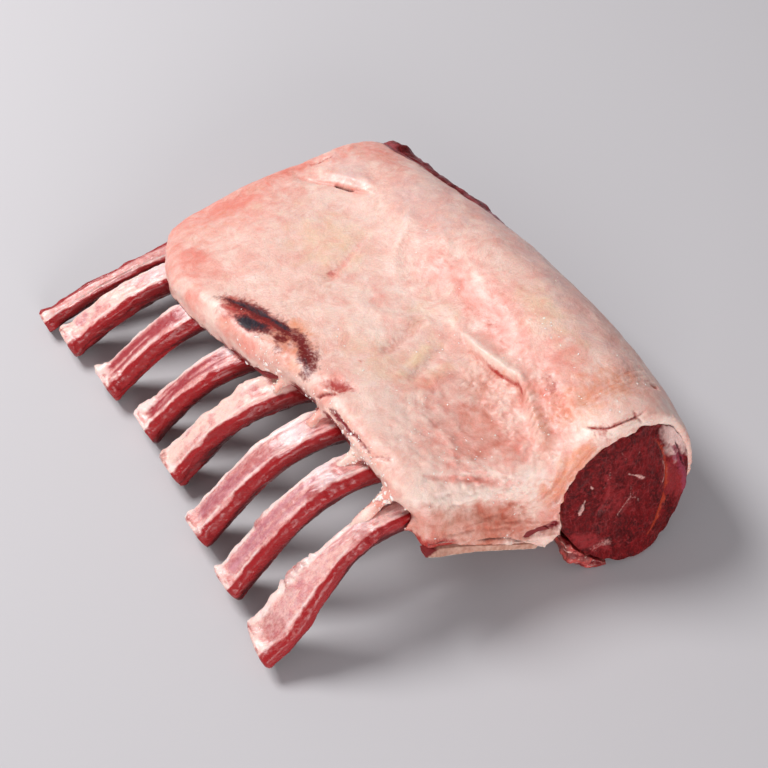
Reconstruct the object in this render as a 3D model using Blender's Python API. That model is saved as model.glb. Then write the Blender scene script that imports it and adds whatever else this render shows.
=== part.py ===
"""Rack of lamb, french trimmed, with the fat cap on: eight rib bones under a loin and its cap of fat.

The rack lies with its fat cap up, as an arch that stands on the rib tips at -Y and on the loin at +Y.
+X runs along the rack to the loin-end cut, and +Z is up. The origin is under the middle of the box
round the whole rack, on the surface that it lies on. Lengths below are in millimetres, and MM turns
them to metres.

Every layer is a slab between an upper and a lower skin. Both skins are made of cross-sections in the
YZ plane, whose sizes are read from smooth curves along the rack, the SECTIONS table. The two cut ends
are slanted, and so is each cross-section, by a share that grows towards its end.
"""

from collections import namedtuple

import bmesh
import bpy
import numpy as np

MM = 0.001
GAP = 0.4  # between two layers that touch
MIDDLE_X, MIDDLE_Y = 0.26, 1.65  # middle of the box round the rack, in the coordinates used below

# ---- Driving dimensions along the rack -----------------------------------------------------------
STATIONS = (-107, -70, -20, 35, 80, 107)  # where the cross-sections below are given, along X
SECTIONS = {
    "edge_y": (-27, -44, -40.5, -31, -30, -26),  # rib-side edge of the fat cap
    "crown_z": (16.5, 30, 34.5, 40.5, 41, 39.5),  # top of the rib bones' arch, on their middle line
    "head_z": (7, 9, 12, 13.5, 14.5, 14.5),  # where the arch ends at the chine
    "flank_z": (31, 43.5, 51, 56.5, 58, 57),  # top of the cap over the ribs
    "valley_z": (39.5, 47, 52, 53, 52, 51),  # top of the cap between the ribs and the loin muscle
    "eye_y": (53, 55, 58, 61, 60.5, 58),  # middle of the loin muscle
    "eye_z": (19, 22.5, 26.3, 28, 28, 28),
    "eye_half_width": (27, 29, 30.5, 31.5, 30.5, 28),
    "eye_half_height": (19.6, 23.1, 26.9, 28.8, 28.9, 28.8),
    "cap_over_eye": (3.5, 4.5, 5.5, 5.5, 5, 4.5),  # thickness of the cap on top of the loin muscle
    "cap_end_angle": (42, 36, 27, 14, -6, -16),  # where the cap ends on the back, degrees round the eye
}
STEP_X, STEP_RUN, STEP_DEPTH = 9, 6, 4  # the cap's edge steps back here, towards the loin end

# ---- Arch of the ribs, in the YZ plane -----------------------------------------------------------
CROWN_Y = -24
TIP_RUN = 56  # from the crown to the rib tips, along Y
TIP_Z, TIP_BEND = 4, 2.1
HEAD_BEND = 1.3  # how late the arch falls towards the chine side
HEAD_INSET = 5.0  # from the loin muscle to the rib heads
MEAT_ABOVE_RIBS, MEAT_BELOW_MIDDLE = 6.6, 2.8  # the lean layer, measured from the ribs' middle line
CAP_NOSE, NOSE_FOOT = 6.0, 2.5  # how far the cap's rounded edge reaches in, above and below

# ---- Ribs ----------------------------------------------------------------------------------------
Rib = namedtuple("Rib", "tip_x tip_y root_x crown_z width tip_width half_thickness")
RIBS = (
    Rib(-105.5, -89, -101.5, 18.0, 6.6, 6.4, 3.6),
    Rib(-90.5, -84, -82.0, 27.0, 10.5, 10.5, 4.2),
    Rib(-62.0, -79, -52.0, 34.5, 11.0, 12.0, 4.6),
    Rib(-35.0, -75, -23.0, 34.5, 10.5, 11.5, 4.5),
    Rib(-11.0, -75, 1.0, 36.5, 11.0, 11.5, 4.4),
    Rib(20.0, -79, 26.0, 40.5, 11.5, 12.0, 4.7),
    Rib(47.0, -80, 49.5, 42.5, 11.0, 12.0, 4.6),
    Rib(77.0, -82, 70.5, 39.0, 10.0, 17.0, 3.9),
)
RIB_SLANT = 5.0  # how far a rib's head lies towards the loin end from its root
RIB_STATIONS = 18
RIB_CHAMFER_ACROSS, RIB_CHAMFER_THROUGH = 0.60, 0.42  # where the eight-sided bone's flats end
PADDLE_SHARE = 0.45  # the last rib is broad over this share of its free length

# ---- The two cut ends ----------------------------------------------------------------------------
FAR_X, FAR_SLANT_FROM_Y, FAR_SLANT = -108, 4, 0.12
NEAR_Y = (-30, -24, 14, 24, 30, 38, 52, 84)  # where the loin-end cut below is given, along Y
NEAR_FOOT_X = (92, 92, 94, 95, 101, 105, 109, 105)  # x of the cut at its lower edge
NEAR_LEAN = (0.8, 0.8, 0.32, 0.22, 0.22, 0.26, 0.28, 0.30)  # how far it leans back, per mm up
NEAR_FOOT_Z = (36, 34, 18, 11, 5, 0, 0, 0)  # z of its lower edge

# ---- Small pieces at the loin-end cut and along the chine ----------------------------------------
SLIVER_THICKNESS, SLIVER_DEPTH, SLIVER_END_Y = 2.8, 4.0, 25
TRIM_FROM, TRIM_TO, TRIM_THICKNESS = 207, 246, 6.0  # degrees round the eye, from its +Y side

# ---- Fineness of the solids ----------------------------------------------------------------------
ALONG = 26  # cross-sections along the rack
CAP_ACROSS, EYE_ACROSS, MEAT_ACROSS, TRIM_ACROSS = 24, 12, 10, 4


def through(xs, ys, x):
    """A smooth curve through the points (xs, ys), read at x, and level beyond its ends."""
    xs, ys, x = (np.asarray(values, float) for values in (xs, ys, x))
    slopes = np.gradient(ys, xs)
    x = np.clip(x, xs[0], xs[-1])
    i = np.clip(np.searchsorted(xs, x) - 1, 0, len(xs) - 2)
    span = xs[i + 1] - xs[i]
    t = (x - xs[i]) / span
    rise = ys[i] * (1 + 2 * t) * (1 - t) ** 2 + ys[i + 1] * t * t * (3 - 2 * t)
    return rise + span * t * (1 - t) * (slopes[i] * (1 - t) - slopes[i + 1] * t)


def smooth_step(x, low, high):
    t = np.clip((x - low) / (high - low), 0, 1)
    return t * t * (3 - 2 * t)


def smooth_max(a, b, blend):
    """The larger of two heights, rounded where they cross."""
    h = np.clip(0.5 + 0.5 * (a - b) / blend, 0, 1)
    return b + (a - b) * h + blend * h * (1 - h)


def arch_height(crown_z, head_z, out, back):
    """Height of a rib arch, at these shares of the way out to its tip and back to its head."""
    return crown_z - (crown_z - TIP_Z) * out**TIP_BEND - (crown_z - head_z) * back**HEAD_BEND


def evenly(points, count):
    """The same open outline with its points evenly spaced."""
    points = np.asarray(points, float)
    lengths = np.r_[0, np.cumsum(np.linalg.norm(np.diff(points, axis=0), axis=1))]
    at = np.linspace(0, lengths[-1], count)
    return np.stack([np.interp(at, lengths, points[:, axis]) for axis in (0, 1)], axis=1)


class Section:
    """One cross-section of the rack: its outlines as (y, z) points, from -Y to +Y."""

    def __init__(self, x):
        for name, values in SECTIONS.items():
            setattr(self, name, float(through(STATIONS, values, x)))
        self.edge_y += STEP_DEPTH * (smooth_step(x, STEP_X - STEP_RUN, STEP_X + STEP_RUN) - 0.5)
        self.meat_end_y = self.eye_y - 0.93 * self.eye_half_width - HEAD_INSET

    def arch(self, y, offset=0.0):
        """(y, z) on the ribs' middle line, or offset from it along its normal, upwards."""
        y = np.asarray(y, float)
        out = np.clip((CROWN_Y - y) / TIP_RUN, 0, None)
        back = np.clip((y - CROWN_Y) / (self.meat_end_y - CROWN_Y), 0, None)
        z = arch_height(self.crown_z, self.head_z, out, back)
        slope = np.gradient(z, y)
        length = np.hypot(slope, 1)
        return np.stack([y - offset * slope / length, z + offset / length], axis=-1)

    def eye(self, degrees, offset=0.0):
        """(y, z) on the loin muscle's outline, or offset outwards from it, never below the surface."""
        angle = np.radians(degrees)
        y = self.eye_y + (self.eye_half_width + offset) * np.cos(angle)
        z = self.eye_z + (self.eye_half_height + offset) * np.sin(angle)
        return np.stack([y, np.maximum(z, 0)], axis=-1)

    def meat_line(self, offset):
        """The arch from the cap's edge to the rib heads."""
        return self.arch(np.linspace(self.edge_y + NOSE_FOOT, self.meat_end_y, 40), offset)

    def cap_thickness(self, degrees):
        """The cap's thickness on the loin muscle, full on top and down to a thin skin at its end."""
        share = smooth_step(degrees, self.cap_end_angle - 12, 90)
        return 1.2 + (self.cap_over_eye - 1.2) * share

    def cap_top(self):
        foot = self.meat_line(MEAT_ABOVE_RIBS + GAP)[0]
        middle_z = (foot[1] + self.flank_z) / 2
        turn = np.radians(np.linspace(-90, 90, 13))
        reach = np.where(turn < 0, foot[0] - self.edge_y, CAP_NOSE)
        nose_y = self.edge_y + reach * (1 - np.cos(turn))
        nose = np.stack([nose_y, middle_z + (self.flank_z - middle_z) * np.sin(turn)], axis=1)
        y = np.linspace(self.edge_y + CAP_NOSE, self.eye_y, 60)[1:]
        fall = smooth_step(y, self.edge_y + CAP_NOSE, self.edge_y + 52)
        flank = self.flank_z + (self.valley_z - self.flank_z) * fall
        across = np.clip((y - self.eye_y) / (self.eye_half_width + 4), -1, 0)
        over_eye = self.eye_z + (self.eye_half_height + self.cap_over_eye) * np.sqrt(1 - across**2)
        crest = np.stack([y, smooth_max(over_eye, flank, 7)], axis=1)
        angles = np.linspace(90, self.cap_end_angle, 30)[1:]
        back = np.array([self.eye(a, self.cap_thickness(a)) for a in angles])
        lift = crest[-1, 1] - self.eye(90, self.cap_thickness(90))[1]
        back[:, 1] += lift * smooth_step(angles, 45, 90)
        return evenly(np.vstack([nose, crest, back]), CAP_ACROSS)

    def cap_underside(self):
        low = evenly(self.meat_line(MEAT_ABOVE_RIBS + GAP), MEAT_ACROSS)
        angles = np.linspace(188, self.cap_end_angle, CAP_ACROSS - MEAT_ACROSS)
        return np.vstack([low, self.eye(angles, GAP)])

    def meat_top(self):
        return evenly(self.meat_line(MEAT_ABOVE_RIBS), MEAT_ACROSS)

    def meat_underside(self):
        return evenly(self.meat_line(-MEAT_BELOW_MIDDLE), MEAT_ACROSS)

    def eye_top(self):
        return self.eye(np.linspace(180, 0, EYE_ACROSS))

    def eye_underside(self):
        return self.eye(np.linspace(180, 360, EYE_ACROSS))

    def trim_inside(self):
        return self.eye(np.linspace(TRIM_FROM, TRIM_TO, TRIM_ACROSS), GAP)

    def trim_outside(self):
        share = np.linspace(0, 1, TRIM_ACROSS)
        angles = TRIM_FROM + (TRIM_TO - TRIM_FROM) * share
        bulge = TRIM_THICKNESS * np.sin(np.pi * (0.05 + 0.9 * share)) ** 0.6
        return np.array([self.eye(a, GAP + 0.6 + b) for a, b in zip(angles, bulge)])


def cut_x(points, share):
    """x of cross-section points (y, z), at this share of the way from the far cut to the loin-end cut."""
    y, z = points[..., 0], points[..., 1]
    far = FAR_X + FAR_SLANT * np.clip(y - FAR_SLANT_FROM_Y, 0, None)
    foot, lean, foot_z = (through(NEAR_Y, values, y) for values in (NEAR_FOOT_X, NEAR_LEAN, NEAR_FOOT_Z))
    near = foot - lean * np.clip(z - foot_z, 0, None)
    return far + (near - far) * share


def skin(outline, shares):
    """Rows of (x, y, z), one for each cross-section, of the outline that outline(section) gives."""
    rows = []
    for share in shares:
        section = Section(STATIONS[0] + (STATIONS[-1] - STATIONS[0]) * share)
        points = outline(section)
        rows.append(np.column_stack([cut_x(points, share), points]))
    return np.array(rows)


def material(name, colour, roughness):
    """A plain finish in linear colour."""
    finish = bpy.data.materials.new(name)
    finish.use_nodes = True
    shader = finish.node_tree.nodes["Principled BSDF"]
    shader.inputs["Base Color"].default_value = (*colour, 1)
    shader.inputs["Roughness"].default_value = roughness
    shader.inputs["Metallic"].default_value = 0
    return finish


def add(name, mesh, parent, finish=None):
    obj = bpy.data.objects.new(name, mesh)
    bpy.context.scene.collection.objects.link(obj)
    obj.parent = parent
    if finish:
        mesh.materials.append(finish)
    return obj


def closed_mesh(name, points, faces, smooth_angle=50):
    """A mesh in metres from points in millimetres, with its doubles merged and its faces pointing out."""
    mesh = bpy.data.meshes.new(name)
    shape = bmesh.new()
    corners = [shape.verts.new(point * MM) for point in points]
    for face in faces:
        shape.faces.new([corners[i] for i in face])
    bmesh.ops.remove_doubles(shape, verts=shape.verts, dist=0.00001)
    bmesh.ops.dissolve_degenerate(shape, edges=shape.edges, dist=0.00001)
    bmesh.ops.recalc_face_normals(shape, faces=shape.faces)
    shape.to_mesh(mesh)
    shape.free()
    mesh.shade_smooth()
    mesh.set_sharp_from_angle(angle=np.radians(smooth_angle))
    return mesh


def slab(name, top, underside):
    """The closed mesh between two skins with the same rows and columns."""
    rows, columns = top.shape[:2]
    points = np.vstack([top.reshape(-1, 3), underside.reshape(-1, 3)])
    below = rows * columns
    faces = []
    for r in range(rows - 1):
        for c in range(columns - 1):
            a, b = r * columns + c, (r + 1) * columns + c
            faces.append((a, b, b + 1, a + 1))
            faces.append((below + a, below + a + 1, below + b + 1, below + b))
        for c in (0, columns - 1):
            a, b = r * columns + c, (r + 1) * columns + c
            faces.append((a, below + a, below + b, b))
    for r in (0, rows - 1):
        for c in range(columns - 1):
            a = r * columns + c
            faces.append((a, a + 1, below + a + 1, below + a))
    return closed_mesh(name, points, faces)


def layer(name, top, underside, shares=np.linspace(0, 1, ALONG)):
    """A slab whose two skins come from two of Section's outlines."""
    return slab(name, skin(top, shares), skin(underside, shares))


def rib_line(rib):
    """The bone's middle line, (x, y, z) from its tip over the crown to its head at the chine."""
    section = Section(rib.root_x)
    head_y = section.meat_end_y - 0.6
    share = np.linspace(0, 1, RIB_STATIONS)
    y = rib.tip_y + (head_y - rib.tip_y) * share
    out = np.clip((CROWN_Y - y) / (CROWN_Y - rib.tip_y), 0, None)
    back = np.clip((y - CROWN_Y) / (section.meat_end_y - CROWN_Y), 0, None)
    z = arch_height(rib.crown_z, section.head_z, out, back)
    x = rib.root_x + (rib.tip_x - rib.root_x) * out + RIB_SLANT * back
    return np.stack([x, y, z], axis=1)


def rib_mesh(name, rib, grow=0.0):
    """An eight-sided bone along its middle line: flat above and below, sawn off square at both ends."""
    line = rib_line(rib)
    along = np.gradient(line, axis=0)
    along /= np.linalg.norm(along, axis=1)[:, None]
    across = np.cross(along, (0, 0, 1))
    across /= np.linalg.norm(across, axis=1)[:, None]
    upward = np.cross(across, along)
    line[0] -= along[0] * grow
    line[-1] += along[-1] * grow
    out = (CROWN_Y - line[:, 1]) / (CROWN_Y - rib.tip_y)
    spread = smooth_step(out, 1 - 1.2 * PADDLE_SHARE, 1 - 0.3 * PADDLE_SHARE)
    half_width = (rib.width + (rib.tip_width - rib.width) * spread) / 2 + grow
    half_thickness = rib.half_thickness + grow
    a, b = RIB_CHAMFER_ACROSS, RIB_CHAMFER_THROUGH
    ring = ((a, 1), (1, b), (1, -b), (a, -1), (-a, -1), (-1, -b), (-1, b), (-a, 1))
    rows = [
        line + across * (half_width * side)[:, None] + upward * (half_thickness * height)
        for side, height in ring
    ]
    points = np.stack(rows, axis=1)
    points[..., 2] = np.maximum(points[..., 2], 0.3 - grow)
    sides = len(ring)
    faces = [tuple(range(sides)), tuple(range((RIB_STATIONS - 1) * sides, RIB_STATIONS * sides))]
    for r in range(RIB_STATIONS - 1):
        for s in range(sides):
            a, b = r * sides + s, r * sides + (s + 1) % sides
            faces.append((a, b, b + sides, a + sides))
    return closed_mesh(name, points.reshape(-1, 3), faces)


def carve(obj, cutters):
    """Cuts every object of the cutters collection from obj."""
    cut = obj.modifiers.new("rib_grooves", "BOOLEAN")
    cut.operation = "DIFFERENCE"
    cut.operand_type = "COLLECTION"
    cut.collection = cutters


def bone_sliver():
    """The thin slice of the next bone that the loin-end cut left along its lower edge."""
    section = Section(STATIONS[-1])
    y = np.linspace(section.edge_y + 1, SLIVER_END_Y, 9)
    upper = section.arch(y, -MEAT_BELOW_MIDDLE - GAP)
    lower = section.arch(y, -MEAT_BELOW_MIDDLE - GAP - SLIVER_THICKNESS)
    lower[0] = (lower[0] + upper[0]) / 2
    front = [np.column_stack([cut_x(points, 1), points]) for points in (upper, lower)]
    depth = np.array([SLIVER_DEPTH, 0, 0])
    top, underside = (np.array([points - depth, points]) for points in front)
    return slab("end_bone_sliver", top, underside)


def main():
    for obj in list(bpy.data.objects):
        bpy.data.objects.remove(obj, do_unlink=True)

    fat = material("lamb_fat", (0.80, 0.50, 0.40), 0.40)
    lean = material("lamb_lean", (0.22, 0.022, 0.028), 0.35)
    rib_lean = material("rib_lean", (0.36, 0.06, 0.06), 0.38)
    bone = material("rib_bone", (0.62, 0.26, 0.24), 0.35)
    sawn_bone = material("sawn_bone", (0.60, 0.40, 0.30), 0.50)
    trimmings = material("trimmings", (0.50, 0.12, 0.11), 0.40)

    rack = bpy.data.objects.new("rack", None)
    bpy.context.scene.collection.objects.link(rack)
    rack.location = (-MIDDLE_X * MM, -MIDDLE_Y * MM, 0)

    add("fat_cap", layer("fat_cap", Section.cap_top, Section.cap_underside), rack, fat)
    add("loin_eye", layer("loin_eye", Section.eye_top, Section.eye_underside), rack, lean)
    meat = add("rib_meat", layer("rib_meat", Section.meat_top, Section.meat_underside), rack, rib_lean)
    add("chine_trim", layer("chine_trim", Section.trim_outside, Section.trim_inside), rack, trimmings)
    add("end_bone_sliver", bone_sliver(), rack, sawn_bone)

    grooves = bpy.data.collections.new("rib_cutters")
    bpy.context.scene.collection.children.link(grooves)
    for number, rib in enumerate(RIBS, start=1):
        add(f"rib_{number}", rib_mesh(f"rib_{number}", rib), rack, bone)
        cutter = bpy.data.objects.new(f"rib_cutter_{number}", rib_mesh(f"groove_{number}", rib, GAP))
        grooves.objects.link(cutter)
        cutter.parent = rack
        cutter.hide_render = True
        cutter.display_type = "WIRE"
    carve(meat, grooves)


main()
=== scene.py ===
"""Rack of lamb, raw and french-trimmed, fat cap up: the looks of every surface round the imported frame.

Each class is one sub-assembly. It takes its shape from the frame's own solids, makes it finer, carves
and paints it with named features, and dresses it in a finish. Lengths are in millimetres, and MM turns
them to metres. +X runs along the rack to the cut loin face, +Y from the rib tips to the loin, +Z up.
"""

from __future__ import annotations

import logging
from dataclasses import dataclass, field
from enum import Enum
from typing import Callable, Sequence

import bmesh
import bpy
import numpy as np
from mathutils import Matrix, Vector

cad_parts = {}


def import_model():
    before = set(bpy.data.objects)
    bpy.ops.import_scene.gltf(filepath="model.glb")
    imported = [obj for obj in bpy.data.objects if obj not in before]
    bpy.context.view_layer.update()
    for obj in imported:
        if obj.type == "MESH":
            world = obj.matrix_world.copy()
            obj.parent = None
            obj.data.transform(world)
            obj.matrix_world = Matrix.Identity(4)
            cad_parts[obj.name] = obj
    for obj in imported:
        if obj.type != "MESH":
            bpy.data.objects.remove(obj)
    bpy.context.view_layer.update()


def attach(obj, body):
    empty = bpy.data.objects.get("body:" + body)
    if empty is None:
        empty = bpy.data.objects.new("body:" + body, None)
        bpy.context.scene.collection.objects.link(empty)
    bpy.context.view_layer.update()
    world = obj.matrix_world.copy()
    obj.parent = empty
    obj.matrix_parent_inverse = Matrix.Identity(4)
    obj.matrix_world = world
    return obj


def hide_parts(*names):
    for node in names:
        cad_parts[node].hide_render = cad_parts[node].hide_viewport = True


LOG = logging.getLogger("rack_of_lamb")

MM = 0.001
BODY = "root"

Array = np.ndarray
Plan = tuple[float, float]


# ---- Small tools -----------------------------------------------------------------------------------


def linear(colour: str, alpha: float = 1.0) -> tuple[float, float, float, float]:
    """Turn an sRGB hex colour to linear light.

    Args:
        colour: Six hex digits, with or without a leading hash.
        alpha: The fourth value of the result.

    Returns:
        Red, green, blue and alpha.
    """
    digits = colour.lstrip("#")
    values = (int(digits[i : i + 2], 16) / 255 for i in (0, 2, 4))
    return (*(v / 12.92 if v <= 0.04045 else ((v + 0.055) / 1.055) ** 2.4 for v in values), alpha)


def add_node(tree: bpy.types.NodeTree, kind: str, inputs: dict | None = None, **settings) -> bpy.types.Node:
    """Add one node to a shader or geometry tree.

    Args:
        tree: The tree that gets it.
        kind: The node's type.
        inputs: Values or sockets by the name or number of the input they go to.
        **settings: Properties of the node itself.

    Returns:
        The new node.
    """
    node = tree.nodes.new(kind)
    for name, value in settings.items():
        setattr(node, name, value)
    for key, value in (inputs or {}).items():
        if isinstance(value, bpy.types.NodeSocket):
            tree.links.new(value, node.inputs[key])
        else:
            node.inputs[key].default_value = value
    return node


def ease(x: Array, low: float, high: float) -> Array:
    """Run from 0 at low to 1 at high, level beyond both and smooth between them."""
    t = np.clip((x - low) / (high - low), 0, 1)
    return t * t * (3 - 2 * t)


def bell(x: Array, width: float) -> Array:
    """A rounded peak of 1 at x = 0 that is down to a third at x = width."""
    return np.exp(-((x / width) ** 2))


def smooth_line(points: Sequence[Sequence[float]], steps: int = 6) -> Array:
    """Read more points from the smooth curve through a few of them.

    Args:
        points: The curve's own points, in order.
        steps: How many points to read between two of them.

    Returns:
        The finer line, with both of its ends.
    """
    p = np.asarray(points, float)
    p = np.vstack([2 * p[0] - p[1], p, 2 * p[-1] - p[-2]])
    t = np.linspace(0, 1, steps, endpoint=False)[:, None]
    rows = []
    for a, b, c, d in zip(p[:-3], p[1:-2], p[2:-1], p[3:]):
        rows.append(b + t * (c - a) / 2 + t**2 * (a - 2.5 * b + 2 * c - d / 2) + t**3 * (1.5 * (b - c) + (d - a) / 2))
    return np.vstack([*rows, p[-2:-1]])


class Noise:
    """A smooth random field in space, between about -1 and 1, the same on each run."""

    TABLE = 4096

    def __init__(self, seed: int) -> None:
        """Shuffle the field's table of values with this seed."""
        source = np.random.default_rng(seed)
        self.values = source.uniform(-1, 1, self.TABLE)
        self.order = source.permutation(self.TABLE)

    def __call__(self, points: Array, size: float | Sequence[float], octaves: int = 3) -> Array:
        """Read the field.

        Args:
            points: Where, in millimetres.
            size: How large its largest lumps are, or how large along each axis.
            octaves: How many times finer, weaker lumps are added.

        Returns:
            One value for each point.
        """
        total = np.zeros(len(points))
        at = np.asarray(points, float) / np.asarray(size, float)
        for octave in range(octaves):
            total += self._lumps(at * 2**octave + 31.7 * octave) / 2**octave
        return total / (2 - 0.5 ** (octaves - 1)) * 1.4

    def _lumps(self, at: Array) -> Array:
        """Blend the table's values at the eight corners of each point's cell."""
        cell = np.floor(at).astype(np.int64)
        t = at - cell
        t = t * t * (3 - 2 * t)
        total = np.zeros(len(at))
        for corner in range(8):
            step = np.array([corner & 1, corner >> 1 & 1, corner >> 2 & 1])
            weight = np.prod(np.where(step, t, 1 - t), axis=1)
            index = np.zeros(len(at), np.int64)
            for axis in range(3):
                index = self.order[(index + cell[:, axis] + step[axis]) % self.TABLE]
            total += weight * self.values[index]
        return total


# ---- Features that are carved and painted ------------------------------------------------------------


class Side(Enum):
    """The side of the rack that a feature is drawn on: the two axes of its plan, and the axis it faces."""

    TOP = (0, 1, 2)
    NEAR = (1, 2, 0)


@dataclass(frozen=True)
class Stroke:
    """A fold, crease, cut or streak along a smooth line.

    Its left side is the left one for somebody who walks along it and looks at the side it is drawn on.
    """

    line: tuple[Plan, ...]
    rise: float = 0.0
    left: float = 1.0
    right: float = 1.0
    mask: str = ""
    strength: float = 1.0
    spread: float = 1.0
    ragged: float = 0.25
    side: Side = Side.TOP

    def values(self, plan: Array, rough: Array) -> tuple[Array, Array]:
        """Work out the feature at each point.

        Args:
            plan: The points in the plan of the feature's side.
            rough: Noise at the points, which frays the painted edge.

        Returns:
            How far each point is raised, and how strongly it is painted.
        """
        line = smooth_line(self.line)
        reach = 3 * max(self.left, self.right, self.spread)
        near = np.all((plan > line.min(0) - reach) & (plan < line.max(0) + reach), axis=1)
        raised, painted = np.zeros(len(plan)), np.zeros(len(plan))
        if not near.any():
            return raised, painted
        start, step = line[:-1], np.diff(line, axis=0)
        away = plan[near, None] - start[None]
        share = np.clip((away * step).sum(2) / (step**2).sum(1), 0, 1)
        miss = away - share[..., None] * step
        nearest = (miss**2).sum(2).argmin(1)
        rows = np.arange(len(nearest))
        gap = miss[rows, nearest]
        along = (nearest + share[rows, nearest]) / len(step)
        turn = step[nearest, 0] * gap[:, 1] - step[nearest, 1] * gap[:, 0]
        distance = np.hypot(gap[:, 0], gap[:, 1])
        taper = ease(along, 0, 0.18) * ease(1 - along, 0, 0.18)
        taper = np.where(distance > 0, np.maximum(taper, 0.02), taper)
        width = np.where(turn > 0, self.left, self.right) * (0.5 + 0.5 * taper)
        raised[near] = self.rise * taper * bell(distance, width)
        spread = self.spread * (0.4 + 0.6 * taper) * (1 + self.ragged * rough[near])
        painted[near] = self.strength * np.clip(bell(distance, np.maximum(spread, 0.05)) * 1.15, 0, 1) * taper**0.3
        return raised, painted


@dataclass(frozen=True)
class Patch:
    """A hollow, a swelling or a stain with an oval outline."""

    centre: Plan
    radii: Plan
    turn: float = 0.0
    rise: float = 0.0
    mask: str = ""
    strength: float = 1.0
    soft: float = 0.5
    ragged: float = 0.25
    side: Side = Side.TOP

    def values(self, plan: Array, rough: Array) -> tuple[Array, Array]:
        """Work out the feature at each point, as Stroke.values does."""
        angle = np.radians(self.turn)
        offset = plan - np.asarray(self.centre)
        u = (offset[:, 0] * np.cos(angle) + offset[:, 1] * np.sin(angle)) / self.radii[0]
        v = (-offset[:, 0] * np.sin(angle) + offset[:, 1] * np.cos(angle)) / self.radii[1]
        reach = np.hypot(u, v) + self.ragged * rough
        inside = 1 - ease(reach, 1 - self.soft, 1 + self.soft)
        return self.rise * inside, self.strength * inside


Feature = Stroke | Patch


# ---- Surfaces -----------------------------------------------------------------------------------------


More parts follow.
